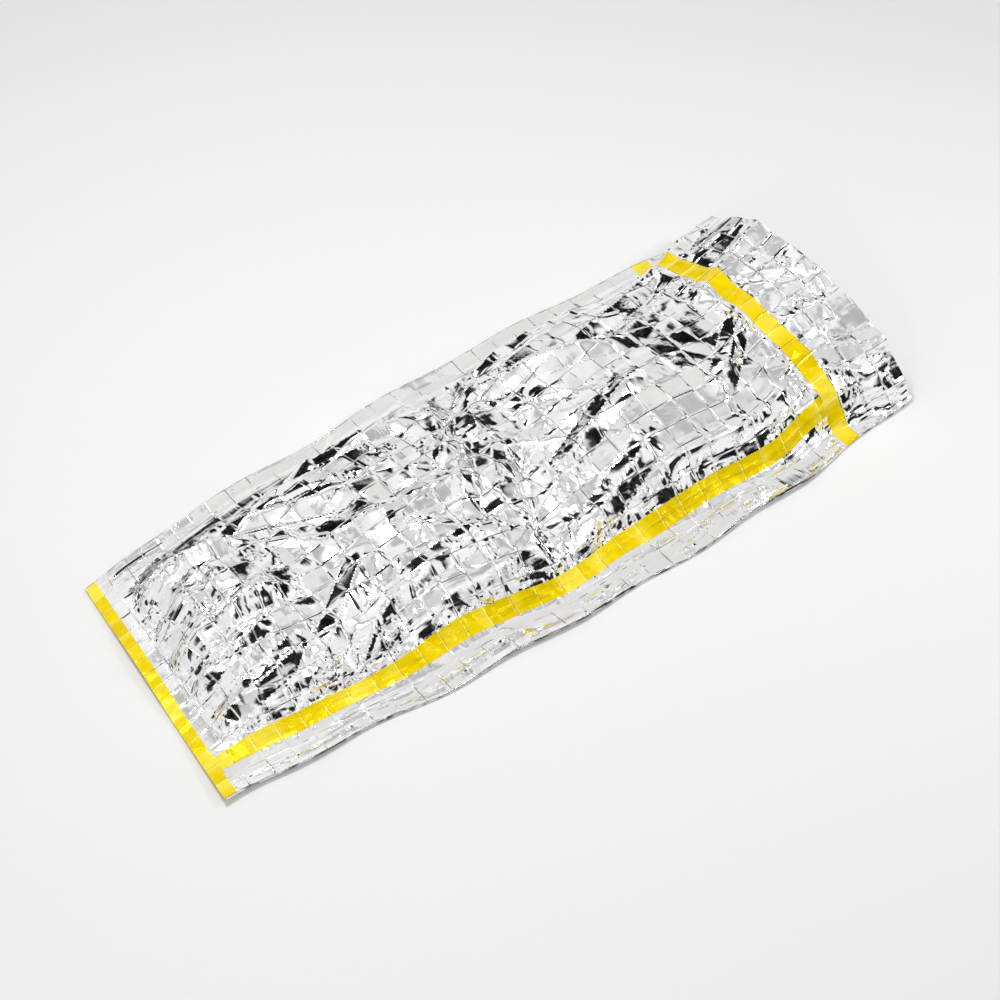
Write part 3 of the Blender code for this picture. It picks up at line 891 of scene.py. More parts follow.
def add_stars(random, relief):
    """Points from which ridges and troughs run out all round, where the film is bunched."""
    placed = 0
    while placed < STARS:
        row, column = random.integers(0, V.shape[0]), random.integers(0, V.shape[1])
        if random.random() > bunching[row, column]:
            continue
        placed += 1
        centre = np.array((ALONG[row], ACROSS[column]))
        rays = random.integers(*STAR_RAYS)
        first_turn = random.uniform(0, 2 * math.pi)
        for ray in range(rays):
            turn = first_turn + 2 * math.pi * (ray + random.uniform(-STAR_TURN, STAR_TURN)) / rays
            end = run_from(centre, turn, random.uniform(*STAR_REACH))
            height = random.uniform(*STAR_HEIGHT) * (1 if ray % 2 else -1)
            half_width = random.uniform(*STAR_HALF_WIDTH)
            add_crease(relief, centre, end, height, half_width, **STAR_FADES)


star_relief = scattered("stars", add_stars)

# %% [markdown]
# ## Panels
# A cell between four packing creases stays a small flat mirror. Neighbours that are tilted
# against each other by a few degrees mirror quite different parts of the studio, so each gets
# a tilt of its own. Over the legs some are tilted more, and stand out black or white.

# %% Panels
PANEL_SLOPE = 0.055
PANEL_LIMIT = 0.11
PANEL_EDGE = 0.0065
STEEP_PANELS = 0.16
STEEP_ROWS = (8, 16)
STEEP_SLOPE = 0.16


def panels():
    """Each cell tilted its own way, as a flat panel that steps down at its four creases."""
    random = seeded("panels")
    tilts = random.normal(size=(2, CELLS_ALONG, CELLS_ACROSS)) * PANEL_SLOPE
    tilts = np.clip(tilts, -PANEL_LIMIT, PANEL_LIMIT)
    steep = random.random(size=(CELLS_ALONG, CELLS_ACROSS)) < STEEP_PANELS
    steep[:STEEP_ROWS[0]] = False
    steep[STEEP_ROWS[1]:] = False
    turns = random.uniform(0, 2 * math.pi, size=steep.sum())
    tilts[0][steep] = STEEP_SLOPE * np.cos(turns)
    tilts[1][steep] = STEEP_SLOPE * np.sin(turns)
    rise = ((share_i - 0.5) * CELL_ACROSS * tilts[0][cell_j, cell_i]
            + (share_j - 0.5) * CELL_ALONG * tilts[1][cell_j, cell_i])
    edge = np.minimum(np.minimum(share_i, 1 - share_i) * CELL_ACROSS,
                      np.minimum(share_j, 1 - share_j) * CELL_ALONG)
    return rise * np.clip(edge / PANEL_EDGE, 0, 1)


panel_relief = measured("panels", panels())

# %% [markdown]
# ## Creases of the tapes
# Tape and film are stuck together and crease as one. The seam tape has slanted creases over
# it, a few long ones down it, and flat lengths that lie at a slant to each other. The band has
# a fold at each cell. One relief serves both sheets, so neither can cut through the other.
# Just beside the tapes the film stands up in short steep tucks, whose flanks mirror the yellow.

# %% How near the tapes a place lies
def by_seam(reach, edge):
    """1 on the seam tape and 0 at a reach beside it, with a soft edge."""
    near = smooth((0.5 * TAPE_WIDTH + reach - np.abs(T - SEAM_ACROSS)) / edge)
    return near * (V < BAND_START)


def by_band(reach, edge):
    """1 on the hood band and 0 at a reach beside it, with a soft edge."""
    return smooth((BAND_END + reach - V) / edge) * smooth((V - BAND_START + reach) / edge)


# %% Creases over and down the seam tape
SEAM_CREASE_GAPS = (0.022, 0.062)
SEAM_CREASE_SLANT = 0.016
SEAM_CREASE_ENDS = (TAPE_NEAR - 0.012, TAPE_FAR + 0.016)
SEAM_CREASE = dict(heights=(0.0010, 0.0030), half_widths=(0.007, 0.014), either_way=True, fade=0.12)
LONG_CREASE_EVERY = 0.23
LONG_CREASE_LENGTH = 0.30
LONG_CREASE_SIDE = 0.012
LONG_CREASE = dict(heights=(0.0008, 0.0018), half_widths=(0.008, 0.014), fade=0.2)


def add_seam_creases(random, relief):
    """Slanted creases over the seam tape, and long ones down it."""
    along = SEAM_FROM
    near, far = SEAM_CREASE_ENDS
    while along < SEAM_TO:
        along += random.uniform(*SEAM_CREASE_GAPS)
        slant = random.normal() * SEAM_CREASE_SLANT
        random_crease(random, relief, (along - slant, near), (along + slant, far), **SEAM_CREASE)
    for start in np.arange(SEAM_FROM, SEAM_TO, LONG_CREASE_EVERY):
        side = random.uniform(-LONG_CREASE_SIDE, LONG_CREASE_SIDE)
        random_crease(random, relief, (start, SEAM_ACROSS + side),
                      (start + LONG_CREASE_LENGTH, SEAM_ACROSS - side), **LONG_CREASE)


# %% Folds of the band
BAND_FOLD_ENDS = (BAND_START - 0.02, BAND_END + 0.02)
BAND_FOLD_SKEW = 0.003
BAND_FOLD = dict(heights=(0.0008, 0.0016), half_widths=(0.005, 0.008), either_way=True, fade=0.15)


def add_band_folds(random, relief):
    """A narrow fold across the band at each cell."""
    start, end = BAND_FOLD_ENDS
    for i in range(1, CELLS_ACROSS):
        across = i * CELL_ACROSS
        random_crease(random, relief, (start, across), (end, across + BAND_FOLD_SKEW), **BAND_FOLD)


# %% Flat lengths of tape, and all creases of the tapes
SEAM_LENGTHS = 45
SEAM_LENGTH = (0.035, 0.085)
SEAM_LIFT = 0.0075
SEAM_SKEW = 0.35
BAND_LIFT = 0.0065
LIFT_REACH = 0.022
LIFT_EDGE = 0.020


def add_tape_creases(random, relief):
    """All that creases the tapes, with the film to which they are stuck."""
    add_seam_creases(random, relief)
    add_band_folds(random, relief)
    gaps = random.uniform(*SEAM_LENGTH, size=SEAM_LENGTHS)
    folds = np.concatenate(([0.0], np.cumsum(gaps)))
    lifts = random.uniform(-SEAM_LIFT, SEAM_LIFT, size=len(folds))
    skewed = V + SEAM_SKEW * (T - SEAM_ACROSS)
    relief += np.interp(skewed, folds, lifts) * by_seam(LIFT_REACH, LIFT_EDGE)
    lifts = random.uniform(-BAND_LIFT, BAND_LIFT, size=CELLS_ACROSS + 1)
    folds = CELL_ACROSS * np.arange(CELLS_ACROSS + 1)
    relief += np.interp(T, folds, lifts) * by_band(LIFT_REACH, LIFT_EDGE)


tape_relief = scattered("tape creases", add_tape_creases)

# %% Tucks beside the tapes
TUCK = dict(heights=(0.0035, 0.0070), half_widths=(0.008, 0.012), fade=0.12, fade_out=0.7)
TUCK_TURN = 0.014
BAND_TUCKS = 15
BAND_TUCK_BEFORE = (0.012, 0.045)
BAND_TUCK_ACROSS = (0.14, 0.86)
BAND_TUCK_LENGTH = (0.025, 0.070)
SEAM_TUCKS = dict(TUCK, count=18, turn=TUCK_TURN, length=(0.030, 0.080),
                  along=(0.06, BAND_START - 0.10), across=(TAPE_FAR + 0.012, TAPE_FAR + 0.040))


def add_tucks(random, relief):
    """Short steep tucks beside the band, which run across, and beside the seam tape."""
    for _ in range(BAND_TUCKS):
        along = BAND_START - random.uniform(*BAND_TUCK_BEFORE)
        across = random.uniform(*BAND_TUCK_ACROSS)
        end = (along + random.normal() * TUCK_TURN, across + random.uniform(*BAND_TUCK_LENGTH))
        random_crease(random, relief, (along, across), end, **TUCK)
    creases_along(random, relief, **SEAM_TUCKS)


tuck_relief = scattered("tucks", add_tucks)

# %% [markdown]
# ## Loose creases and margin wrinkles
# Handling adds creases that don't follow the packing grid. Long slanted ones break up its
# tiles, short ones run any way, and the two pressed margins have thin wrinkles along them. Each
# is a tent again, with a length, a turn and a height of its own, so that none looks copied.

# %% Long slanted creases
SLANTED_CREASES = 18
SLANTED_ALONG = (0.12, 1.75)
SLANTED_ACROSS = (0.16, FLAT_WIDTH - 0.12)
SLANTED_TURN = (0.20, 1.0)
SLANTED_LENGTH = (0.22, 0.46)
SLANTED_HEIGHT = (0.0035, 0.0070)
SLANTED_HALF_WIDTH = (0.016, 0.028)
SLANTED_FADE = 0.15


def add_slanted_creases(random, relief):
    """Long crisp creases that cross the packing grid at a slant, so that it isn't all tiles."""
    for _ in range(SLANTED_CREASES):
        start = (random.uniform(*SLANTED_ALONG), random.uniform(*SLANTED_ACROSS))
        turn = random.choice((-1, 1)) * random.uniform(*SLANTED_TURN)
        end = run_from(start, turn, random.uniform(*SLANTED_LENGTH))
        height = random.choice((-1, 1)) * random.uniform(*SLANTED_HEIGHT)
        half_width = random.uniform(*SLANTED_HALF_WIDTH)
        add_crease(relief, start, end, height, half_width, fade=SLANTED_FADE)


slanted_relief = scattered("slanted creases", add_slanted_creases)

# %% Loose creases
LOOSE_CREASES = 70
LOOSE_ALONG = (0.02, LENGTH)
LOOSE_ACROSS = (0.06, FLAT_WIDTH - 0.04)
LOOSE_TURN = 0.9
LOOSE_LENGTH = (0.05, 0.20)
LOOSE_CREASE = dict(heights=(-0.0028, 0.0028), half_widths=(0.007, 0.016), fade=0.2)


def add_loose_creases(random, relief):
    """Short loose creases, most of them along the bag."""
    for _ in range(LOOSE_CREASES):
        start = (random.uniform(*LOOSE_ALONG), random.uniform(*LOOSE_ACROSS))
        turn = random.normal() * LOOSE_TURN
        end = run_from(start, turn, random.uniform(*LOOSE_LENGTH))
        random_crease(random, relief, start, end, **LOOSE_CREASE)


loose_relief = scattered("loose creases", add_loose_creases)

# %% Wrinkles along the margins
PLEATS = dict(count=64, along=(-0.1, LENGTH - 0.1), across=(0.005, 0.040), length=(0.05, 0.20),
              turn=0.006, heights=(0.0008, 0.0026), half_widths=(0.004, 0.008), fade=0.3)
NEAR_WRINKLES = dict(count=46, along=(-0.1, LENGTH), across=(0.0, 0.08), length=(0.15, 0.50),
                     turn=0.010, heights=(-0.0012, 0.0024), half_widths=(0.005, 0.009), fade=0.3)
FAR_WRINKLES = dict(NEAR_WRINKLES, across=(FLAT_WIDTH - 0.05, FLAT_WIDTH + 0.03))


def add_margin_wrinkles(random, relief):
    """Crisp short pleats by the near fold, and long thin wrinkles along both margins."""
    for kind in (PLEATS, NEAR_WRINKLES, FAR_WRINKLES):
        creases_along(random, relief, **kind)


wrinkle_relief = scattered("margin wrinkles", add_margin_wrinkles)

# %% [markdown]
# ## The creased upper layer
# The reliefs are added up and push the laid layer outwards. Where the two layers lie together
# the relief is slight, and it never digs deeper than the room below it. Under the tapes the
# fine creases are held back, because film and tape together are stiffer, and over the torso
# and the foot the film is pulled a little smoother.

# %% How much room the creases have
MARGIN_CRUMPLE = 0.20
FULL_RELIEF_HEIGHT = 0.020

base = lay_upper(ACROSS, ALONG)
base_normals = upper_normals(ACROSS, ALONG)
free_height = base[:, :, 2] - MARGIN_HEIGHT - floor_lift(base[:, :, 1], ALONG[:, None])
raised = smooth(free_height / FULL_RELIEF_HEIGHT)
share = MARGIN_CRUMPLE + (1 - MARGIN_CRUMPLE) * raised
crumple = station("crumple", ALONG)[:, None] * share
print("the upper layer stands up to", round(free_height.max(), 3), "m over the lower one")

# %% Where the film is stiffer or smoother
TAPE_EDGE = 0.006
UNDER_TAPE_SHARE = 0.35
CALM_TORSO = 0.48
TORSO_FROM = (1.22, 0.16)
TORSO_TO = (1.80, 0.12)
CALM_FOOT = 0.40
FOOT_TO = (0.30, 0.20)

under_foot = smooth((FOOT_TAPE_OVER + TAPE_EDGE - V) / TAPE_EDGE)
under_tape = np.maximum(by_seam(TAPE_EDGE, TAPE_EDGE), by_band(TAPE_EDGE, TAPE_EDGE))
under_tape = np.maximum(under_tape, under_foot)
stiff = 1 - (1 - UNDER_TAPE_SHARE) * under_tape
calm = 1 - CALM_TORSO * ramp(V, *TORSO_FROM) * (1 - ramp(V, *TORSO_TO))
calm = calm - CALM_FOOT * (1 - ramp(V, *FOOT_TO))
print("under tape:", round(100 * float(under_tape.mean()), 1), "% of the upper layer")

# %% All creases together
CELL_SHARE = 0.60
TAPE_CREASE_SHARE = 0.60
DEEPEST_MARGIN_DENT = 0.0010
DEEPEST_DENT_SHARE = 0.60

fine = (crinkle_relief + facet_relief + star_relief + loose_relief) * stiff
relief = CELL_SHARE * crumple * cell_relief + raised * fold_relief
relief = relief + share * (grid_relief + panel_relief)
relief += share * calm * (1 - under_tape) * slanted_relief
relief += share * calm * fine + np.maximum(share, TAPE_CREASE_SHARE) * tape_relief
relief += (1 - under_tape) * (wrinkle_relief + share * tuck_relief)
relief = np.maximum(relief, -DEEPEST_MARGIN_DENT - DEEPEST_DENT_SHARE * free_height)
relief = measured("all creases", relief)
upper = base + base_normals * relief[:, :, None]
normals = np.cross(np.gradient(upper, axis=0), np.gradient(upper, axis=1))
normals /= np.linalg.norm(normals, axis=2, keepdims=True)

# %% [markdown]
# ## The lower layer and the side folds
# The lower layer lies flat on the floor but for its rims. It has the fine creases too, which
# can only rise from the floor, so they are low bumps here. At each side the film turns round in
# a small half circle. A sharp fold would leave no room between the layers.

# %% The lower layer
FLOOR_STEP = 0.032
FLOOR_RELIEF = 0.0010
FLOOR_RELIEF_FROM = 0.004
FLOOR_EDGE = 0.03
FLOOR_BUNCHED = 0.1

floor_shares = spread_lines(np.arange(CELLS_ACROSS + 1) / CELLS_ACROSS, FLOOR_STEP)
near_edge, far_edge = outline(ALONG)


def flat_place(across, along, gathered):
    """Flat places, with how bunched the film is there as a third number."""
    return np.stack(np.broadcast_arrays(across, along, gathered), axis=-1)


def lower_layer():
    """Places of the lower layer, from the near fold to the far one."""
    radius = 0.5 * MARGIN_HEIGHT
    y = (near_edge + radius)[:, None] + (far_edge - near_edge - 2 * radius)[:, None] * floor_shares
    along = np.repeat(ALONG[:, None], len(floor_shares), axis=1)
    across = np.repeat(floor_shares[None, :] * FLAT_WIDTH, len(ALONG), axis=0)
    copied = np.array([np.interp(floor_shares * FLAT_WIDTH, ACROSS, row) for row in fine])
    bump = np.clip(np.abs(copied) / FLOOR_RELIEF_FROM, 0, 1) * FLOOR_RELIEF
    off_edge = np.minimum(y - near_edge[:, None], far_edge[:, None] - y)
    inside = smooth(off_edge / FLOOR_EDGE)
    z = floor_lift(y, along) + tape_lift(along) + bump * inside
    x = along - LENGTH / 2 + foot_shift(y, along)
    return np.stack((x, y, z), axis=2), flat_place(across, along, FLOOR_BUNCHED)


print("lower layer:", len(floor_shares), "lines across")

# %% The side folds
FOLD_TURNS = np.radians((-60, -30, 0, 30, 60))


def side_fold(side):
    """Places round one side fold, from the lower layer up to the upper one."""
    radius = 0.5 * MARGIN_HEIGHT
    edge = near_edge if side < 0 else far_edge
    inner = edge - side * radius
    low = floor_lift(inner, ALONG) + tape_lift(ALONG)
    high = floor_lift(inner, ALONG) + MARGIN_HEIGHT
    y = inner[:, None] + side * radius * np.cos(FOLD_TURNS)
    z = 0.5 * (low + high)[:, None] + 0.5 * (high - low)[:, None] * np.sin(FOLD_TURNS)
    x = ALONG[:, None] - LENGTH / 2 + foot_shift(y, ALONG[:, None])
    across = np.full_like(y, 0.0 if side < 0 else FLAT_WIDTH)
    along = np.repeat(ALONG[:, None], len(FOLD_TURNS), axis=1)
    return np.stack((x, y, z), axis=2), flat_place(across, along, FLOOR_BUNCHED)


print("side folds:", len(FOLD_TURNS), "lines round each")

# %% [markdown]
# ## Making one sheet
# A grid from `bmesh.ops.create_grid` is laid on the places, and Solidify gives it its
# thickness towards the inside. The flat place of every point is kept as an attribute, so that
# the finish can follow the film through all its folds. The modifier is applied before edges
# over a set angle are marked sharp, so that the new rims are crisp as well.

# %% Making one sheet
SHARP_ANGLE = math.radians(13)


def make_sheet(name, places, flat, thickness, materials):
    """Make one closed sheet from its places and its flat places."""
    rows, columns = places.shape[:2]
    bm = bmesh.new()
    bmesh.ops.create_grid(bm, x_segments=columns - 1, y_segments=rows - 1, size=1.0)
    mesh = bpy.data.meshes.new(name)
    bm.to_mesh(mesh)
    bm.free()
    mesh.vertices.foreach_set("co", places.reshape(-1).astype(np.float32))
    attribute = mesh.attributes.new("flat", "FLOAT_VECTOR", "POINT")
    attribute.data.foreach_set("vector", flat.reshape(-1).astype(np.float32))
    for material in materials:
        mesh.materials.append(material)
    mesh.update()
    sheet = bpy.data.objects.new(name, mesh)
    scene.collection.objects.link(sheet)
    solidify = sheet.modifiers.new("thickness", "SOLIDIFY")
    solidify.thickness = thickness
    solidify.offset = -1.0
    solidify.use_even_offset = False
    solidify.material_offset = len(materials) - 1
    graph = bpy.context.evaluated_depsgraph_get()
    thick = bpy.data.meshes.new_from_object(sheet.evaluated_get(graph))
    sheet.modifiers.clear()
    sheet.data = thick
    thick.name = name
    thick.shade_smooth()
    thick.set_sharp_from_angle(angle=SHARP_ANGLE)
    bpy.data.meshes.remove(mesh)
    print(name, "triangles:", sum(len(face.vertices) - 2 for face in thick.polygons))
    return sheet


# %% [markdown]
# ## Finishes that follow the sheets
# Both finishes are made from the flat place on the sheet, so they run through every fold. A
# crease that was pressed in the packet has worn metal in it, and lines of painted shade and
# painted highlight are put along it; its place is known: it comes at every full cell. Painted
# maps could show the same, but they would need a layout for each piece, and wouldn't be as sharp.

# %% What the finishes share
def start_finish(name):
    """Start a material. Return it with its tree, its shader's inputs and the flat place."""
    material = bpy.data.materials.new(name)
    material.use_nodes = True
    tree = material.node_tree
    flat = add_node(tree, "ShaderNodeAttribute", attribute_name="flat").outputs["Vector"]
    return material, tree, tree.nodes["Principled BSDF"].inputs, flat


def flat_sided_points(tree, flat, scale, height):
    """A relief of low points with flat sides, as foil and stiff tape have when crumpled."""
    points = add_node(tree, "ShaderNodeTexVoronoi", {"Vector": flat, "Scale": scale},
                      voronoi_dimensions="2D", distance="MANHATTAN")
    return times(tree, points.outputs["Distance"], height)


def add_bump(tree, inputs, relief):
    """Link a relief in metres to the shader."""
    bump = add_node(tree, "ShaderNodeBump", {"Height": relief, "Distance": 1.0, "Strength": 1.0})
    put(tree, inputs["Normal"], bump.outputs["Normal"])


# %% Worn packing creases, and lines of painted shade and highlight along them
WEAR_AND_LIGHT_CORE = 0.2


# This mask sets the worn roughness, and also places lines of painted shade and painted highlight.
def crease_wear_and_light(tree, place, cell, reach):
    """1 on a packing crease and 0 at a reach of some millimetres off it."""
    share = calculate(tree, "FRACT", calculate(tree, "DIVIDE", place, cell))
    off = calculate(tree, "MINIMUM", share, calculate(tree, "SUBTRACT", 1.0, share))
    off = times(tree, off, cell)
    return remap(tree, off, WEAR_AND_LIGHT_CORE * reach, reach, 1.0, 0.0)


def packing_wear_and_shade(tree, parts, reach):
    """Wear, and a line of painted shade, along both ways of the packing grid."""
    return calculate(tree, "MAXIMUM", crease_wear_and_light(tree, parts[0], CELL_ACROSS, reach),
                     crease_wear_and_light(tree, parts[1], CELL_ALONG, reach))


# %% [markdown]
# ## The metallised film
# A metal shader with a low roughness does most of the work, a little hazy in patches. Along
# the packing creases the metal is dulled, and thin broken dark lines of painted shade are put
# into its colour, in place of the dark reflections of the crease flanks. Three reliefs are too
# fine for the mesh: crinkle lines in some patches, a crumpled net in others, and flat-sided
# points where the film is bunched. The inside is the same film, but duller.

# %% Gloss and colour of the film
# A noise is given by its scale and detail, and a range by two values that are mapped to two more.
HAZE_NOISE = (14.0, 3.0)
HAZE_RANGE = (0.45, 0.75)
HAZE_ROUGHNESS = 0.06
WEAR_REACH = 0.0030
WEAR_ROUGHNESS = 0.10
BUNCHED_ROUGHNESS = (0.2, 0.9, 0.0, 0.02)
FILM_BRIGHT = (0.96, 0.96, 0.96, 1.0)
FILM_HAZY = (0.91, 0.91, 0.915, 1.0)
# The line settings paint shade into the colour: thin dark lines on the packing creases, which stand
# in for the dark reflections of their flanks.
SHADE_LINE_REACH = 0.0017
SHADE_LINE_NOISE = (26.0, 1.0)
SHADE_LINE_STRENGTH = (0.46, 0.60, 0.0, 0.92)
SHADE_LINE_COLOUR = (0.13, 0.13, 0.135, 1.0)


def film_roughness(tree, parts, haze, dullness):
    """Roughness, which grows with the haze, the wear of the creases and the bunching."""
    hazy = times(tree, haze, HAZE_ROUGHNESS)
    worn = times(tree, packing_wear_and_shade(tree, parts, WEAR_REACH), WEAR_ROUGHNESS)
    return plus(tree, dullness, hazy, worn, remap(tree, parts[2], *BUNCHED_ROUGHNESS))


def film_colour(tree, flat, parts, haze):
    """Near-white metal, with broken lines of painted shade along the packing creases."""
    strength = remap(tree, noise(tree, flat, *SHADE_LINE_NOISE), *SHADE_LINE_STRENGTH)
    # Painted shade: a dark line on each packing crease.
    line = times(tree, packing_wear_and_shade(tree, parts, SHADE_LINE_REACH), strength)
    colour = mix_colours(tree, haze, FILM_BRIGHT, FILM_HAZY)
    return mix_colours(tree, line, colour, SHADE_LINE_COLOUR)


# %% Fine relief of the film
PATCH_NOISE = (8.0, 1.0)
CRINKLE_STRETCH = (14.0, 95.0, 1.0)
CRINKLE_NOISE = (1.0, 2.0)
CRINKLE_DEPTH = (0.42, 0.54, 0.00030, 0.00004)
NET_SCALE = 75.0
NET_DEPTH = (0.54, 0.62, 0.0, 0.0004)
POINT_SCALE = 24.0
POINT_HEIGHT = (0.12, 0.9, 0.0, 0.0014)


def film_relief(tree, flat, gathered):
    """Crinkle lines across the bag, a crumpled net, and points where the film is bunched."""
    patches = noise(tree, flat, *PATCH_NOISE)
    stretched = add_node(tree, "ShaderNodeMapping", {"Vector": flat, "Scale": CRINKLE_STRETCH})
    lines = noise(tree, stretched.outputs["Vector"], *CRINKLE_NOISE)
    lines = times(tree, lines, remap(tree, patches, *CRINKLE_DEPTH))
    net = add_node(tree, "ShaderNodeTexVoronoi", {"Vector": flat, "Scale": NET_SCALE},
                   feature="DISTANCE_TO_EDGE").outputs["Distance"]
    net = times(tree, net, remap(tree, patches, *NET_DEPTH))
    points = flat_sided_points(tree, flat, POINT_SCALE, remap(tree, gathered, *POINT_HEIGHT))
    return plus(tree, lines, net, points)


# %% The outside and the inside of the film
def film_finish(name, metal, dullness):
    """Bright film. The share of metal and the dullness set the outside and inside apart."""
    material, tree, inputs, flat = start_finish(name)
    parts = add_node(tree, "ShaderNodeSeparateXYZ", {0: flat}).outputs
    haze = remap(tree, noise(tree, flat, *HAZE_NOISE), *HAZE_RANGE)
    put(tree, inputs["Metallic"], metal)
    put(tree, inputs["Roughness"], film_roughness(tree, parts, haze, dullness))
    put(tree, inputs["Base Color"], film_colour(tree, flat, parts, haze))
    add_bump(tree, inputs, film_relief(tree, flat, parts[2]))
    print(name, "has", len(tree.nodes), "nodes")
    return material


FILM_OUTSIDE = film_finish("metallised_film", 1.0, 0.055)
FILM_INSIDE = film_finish("metallised_film_inside", 0.85, 0.22)

# %% [markdown]
# ## The yellow tape
# The tape is a glossy plastic with its colour in it. It is stuck to film that lies differently
# in every packing cell, so its light and shade change from cell to cell, and each fold between
# two shows as a dark line with a pale edge. Here both are painted: some cells get painted shade
# and others a painted sheen, and each fold a painted shade line with a painted highlight beside
# it. The real fold lines are narrow reflections. A mesh fine enough for them would be far too
# heavy, so they are partly put into the colour.

# %% Colours of the tape, with painted shade and sheen
MOTTLE_NOISE = (30.0, 4.0)
MOTTLE_RANGE = (0.3, 0.7)
TAPE_DEEP = (0.73, 0.52, 0.0, 1.0)
TAPE_BRIGHT = (0.85, 0.645, 0.001, 1.0)
# The dark tone is painted shade, as on cells tilted away from the lamps, and the pale tone a
# painted sheen, as on cells that face them.
CELL_SHADE_TONE = (0.58, 0.40, 0.0, 1.0)
CELL_SHADE_SHARE = (0.0, 0.4, 0.32, 0.0)
CELL_SHEEN_TONE = (0.99, 0.87, 0.13, 1.0)
CELL_SHEEN_SHARE = (0.6, 1.0, 0.0, 0.60)


def cell_shade_and_sheen(tree, place, cell):
    """Runs from one random number to another in each packing cell; sets painted shade and sheen."""
    cells = calculate(tree, "DIVIDE", place, cell)
    number = calculate(tree, "FLOOR", cells)
    ends = [add_node(tree, "ShaderNodeTexWhiteNoise", {"W": value}, noise_dimensions="1D")
            for value in (number, plus(tree, number, 0.5))]
    ends = (end.outputs["Value"] for end in ends)
    return remap(tree, calculate(tree, "FRACT", cells), 0.0, 1.0, *ends)


def yellow_with_painted_light(tree, mottle, cell_light):
    """Mottled yellow, with painted shade in some cells and a painted sheen in others."""
    colour = mix_colours(tree, remap(tree, mottle, *MOTTLE_RANGE), TAPE_DEEP, TAPE_BRIGHT)
    # Painted shade in some cells, then a painted sheen in others.
    colour = mix_colours(tree, remap(tree, cell_light, *CELL_SHADE_SHARE), colour, CELL_SHADE_TONE)
    return mix_colours(tree, remap(tree, cell_light, *CELL_SHEEN_SHARE), colour, CELL_SHEEN_TONE)


# %% Painted shade and highlight lines at the folds of the tape
FOLD_NOISE = (22.0, 1.0)
# Each fold gets a dark line of painted shade and, beside it, a pale line of painted highlight, in
# place of narrow reflections.
FOLD_SHADE_REACH = 0.0017
FOLD_SHADE_STRENGTH = (0.36, 0.56, 0.85, 0.10)
FOLD_SHADE_COLOUR = (0.36, 0.24, 0.0, 1.0)
FOLD_HIGHLIGHT_BESIDE = 0.0028
FOLD_HIGHLIGHT_REACH = 0.0019
FOLD_HIGHLIGHT_STRENGTH = (0.44, 0.64, 0.15, 0.85)
FOLD_HIGHLIGHT_COLOUR = (1.0, 0.95, 0.50, 1.0)


def painted_fold_lines(tree, flat, place, cell, colour):
    """Painted shade at each fold and a painted highlight beside it, both coming and going in
    patches.
    """
    patches = noise(tree, flat, *FOLD_NOISE)
    # Painted shade on the fold, and a painted highlight beside it.
    fold_shade = times(tree, crease_wear_and_light(tree, place, cell, FOLD_SHADE_REACH),
                      remap(tree, patches, *FOLD_SHADE_STRENGTH))
    beside = plus(tree, place, FOLD_HIGHLIGHT_BESIDE)
    fold_highlight = times(tree, crease_wear_and_light(tree, beside, cell, FOLD_HIGHLIGHT_REACH),
                      remap(tree, patches, *FOLD_HIGHLIGHT_STRENGTH))
    colour = mix_colours(tree, fold_shade, colour, FOLD_SHADE_COLOUR)
    return mix_colours(tree, fold_highlight, colour, FOLD_HIGHLIGHT_COLOUR)


# %% The tape along the bag and the tapes across it
TAPE_ROUGHNESS = (0.14, 0.26)
TAPE_SPECULAR = 0.75
TAPE_TINT = (1.0, 0.88, 0.05, 1.0)
WRINKLE_NOISE = (60.0, 3.0)
WRINKLE_HEIGHT = 0.0008
TAPE_POINT_SCALE = 17.0
TAPE_POINT_HEIGHT = 0.0032


def tape_finish(name, axis, cell):
    """Bright glossy tape. The axis is 0 for one across the bag and 1 for one along it."""
    material, tree, inputs, flat = start_finish(name)
    place = add_node(tree, "ShaderNodeSeparateXYZ", {0: flat}).outputs[axis]
    mottle = noise(tree, flat, *MOTTLE_NOISE)
    colour = yellow_with_painted_light(tree, mottle, cell_shade_and_sheen(tree, place, cell))
    put(tree, inputs["Base Color"], painted_fold_lines(tree, flat, place, cell, colour))
    put(tree, inputs["Roughness"], remap(tree, mottle, *MOTTLE_RANGE, *TAPE_ROUGHNESS))
    inputs["Specular IOR Level"].default_value = TAPE_SPECULAR
    inputs["Specular Tint"].default_value = TAPE_TINT
    wrinkles = times(tree, noise(tree, flat, *WRINKLE_NOISE), WRINKLE_HEIGHT)
    points = flat_sided_points(tree, flat, TAPE_POINT_SCALE, TAPE_POINT_HEIGHT)
    add_bump(tree, inputs, plus(tree, wrinkles, points))
    print(name, "has", len(tree.nodes), "nodes")
    return material


TAPE_ACROSS = tape_finish("yellow_tape_across", 0, CELL_ACROSS)
TAPE_ALONG = tape_finish("yellow_tape_along", 1, CELL_ALONG)

# %% [markdown]
# ## The film
# One sheet makes the whole tube. It starts at its inner edge under the seam, goes round the
# near fold, under the bag, round the far fold and back over the top to its outer edge, which
# lies over the inner one. Two sheets joined at their edges would be simpler, but they would
# need two seams. For the mesh's sake it is made in four lengths that meet at packing creases,
# where a line shows in any case.

# %% Laying the film
LAP_SETTLES_FROM = 0.18
LAP_SETTLES_OVER = 0.20


def lap_lift(across):
    """Height of the outer layer over the inner one."""
    settled = ramp(across, LAP_SETTLES_FROM, LAP_SETTLES_OVER)
    return (LAP_GAP + FILM_THICKNESS) * (1 - settled)


def upper_part(columns, offsets):
    """Places and flat places of the upper layer at some columns, raised by the offsets."""
    places = upper[:, columns] + normals[:, columns] * offsets[None, :, None]
    return places, flat_place(T[:, columns], V[:, columns], (share * bunching)[:, columns])


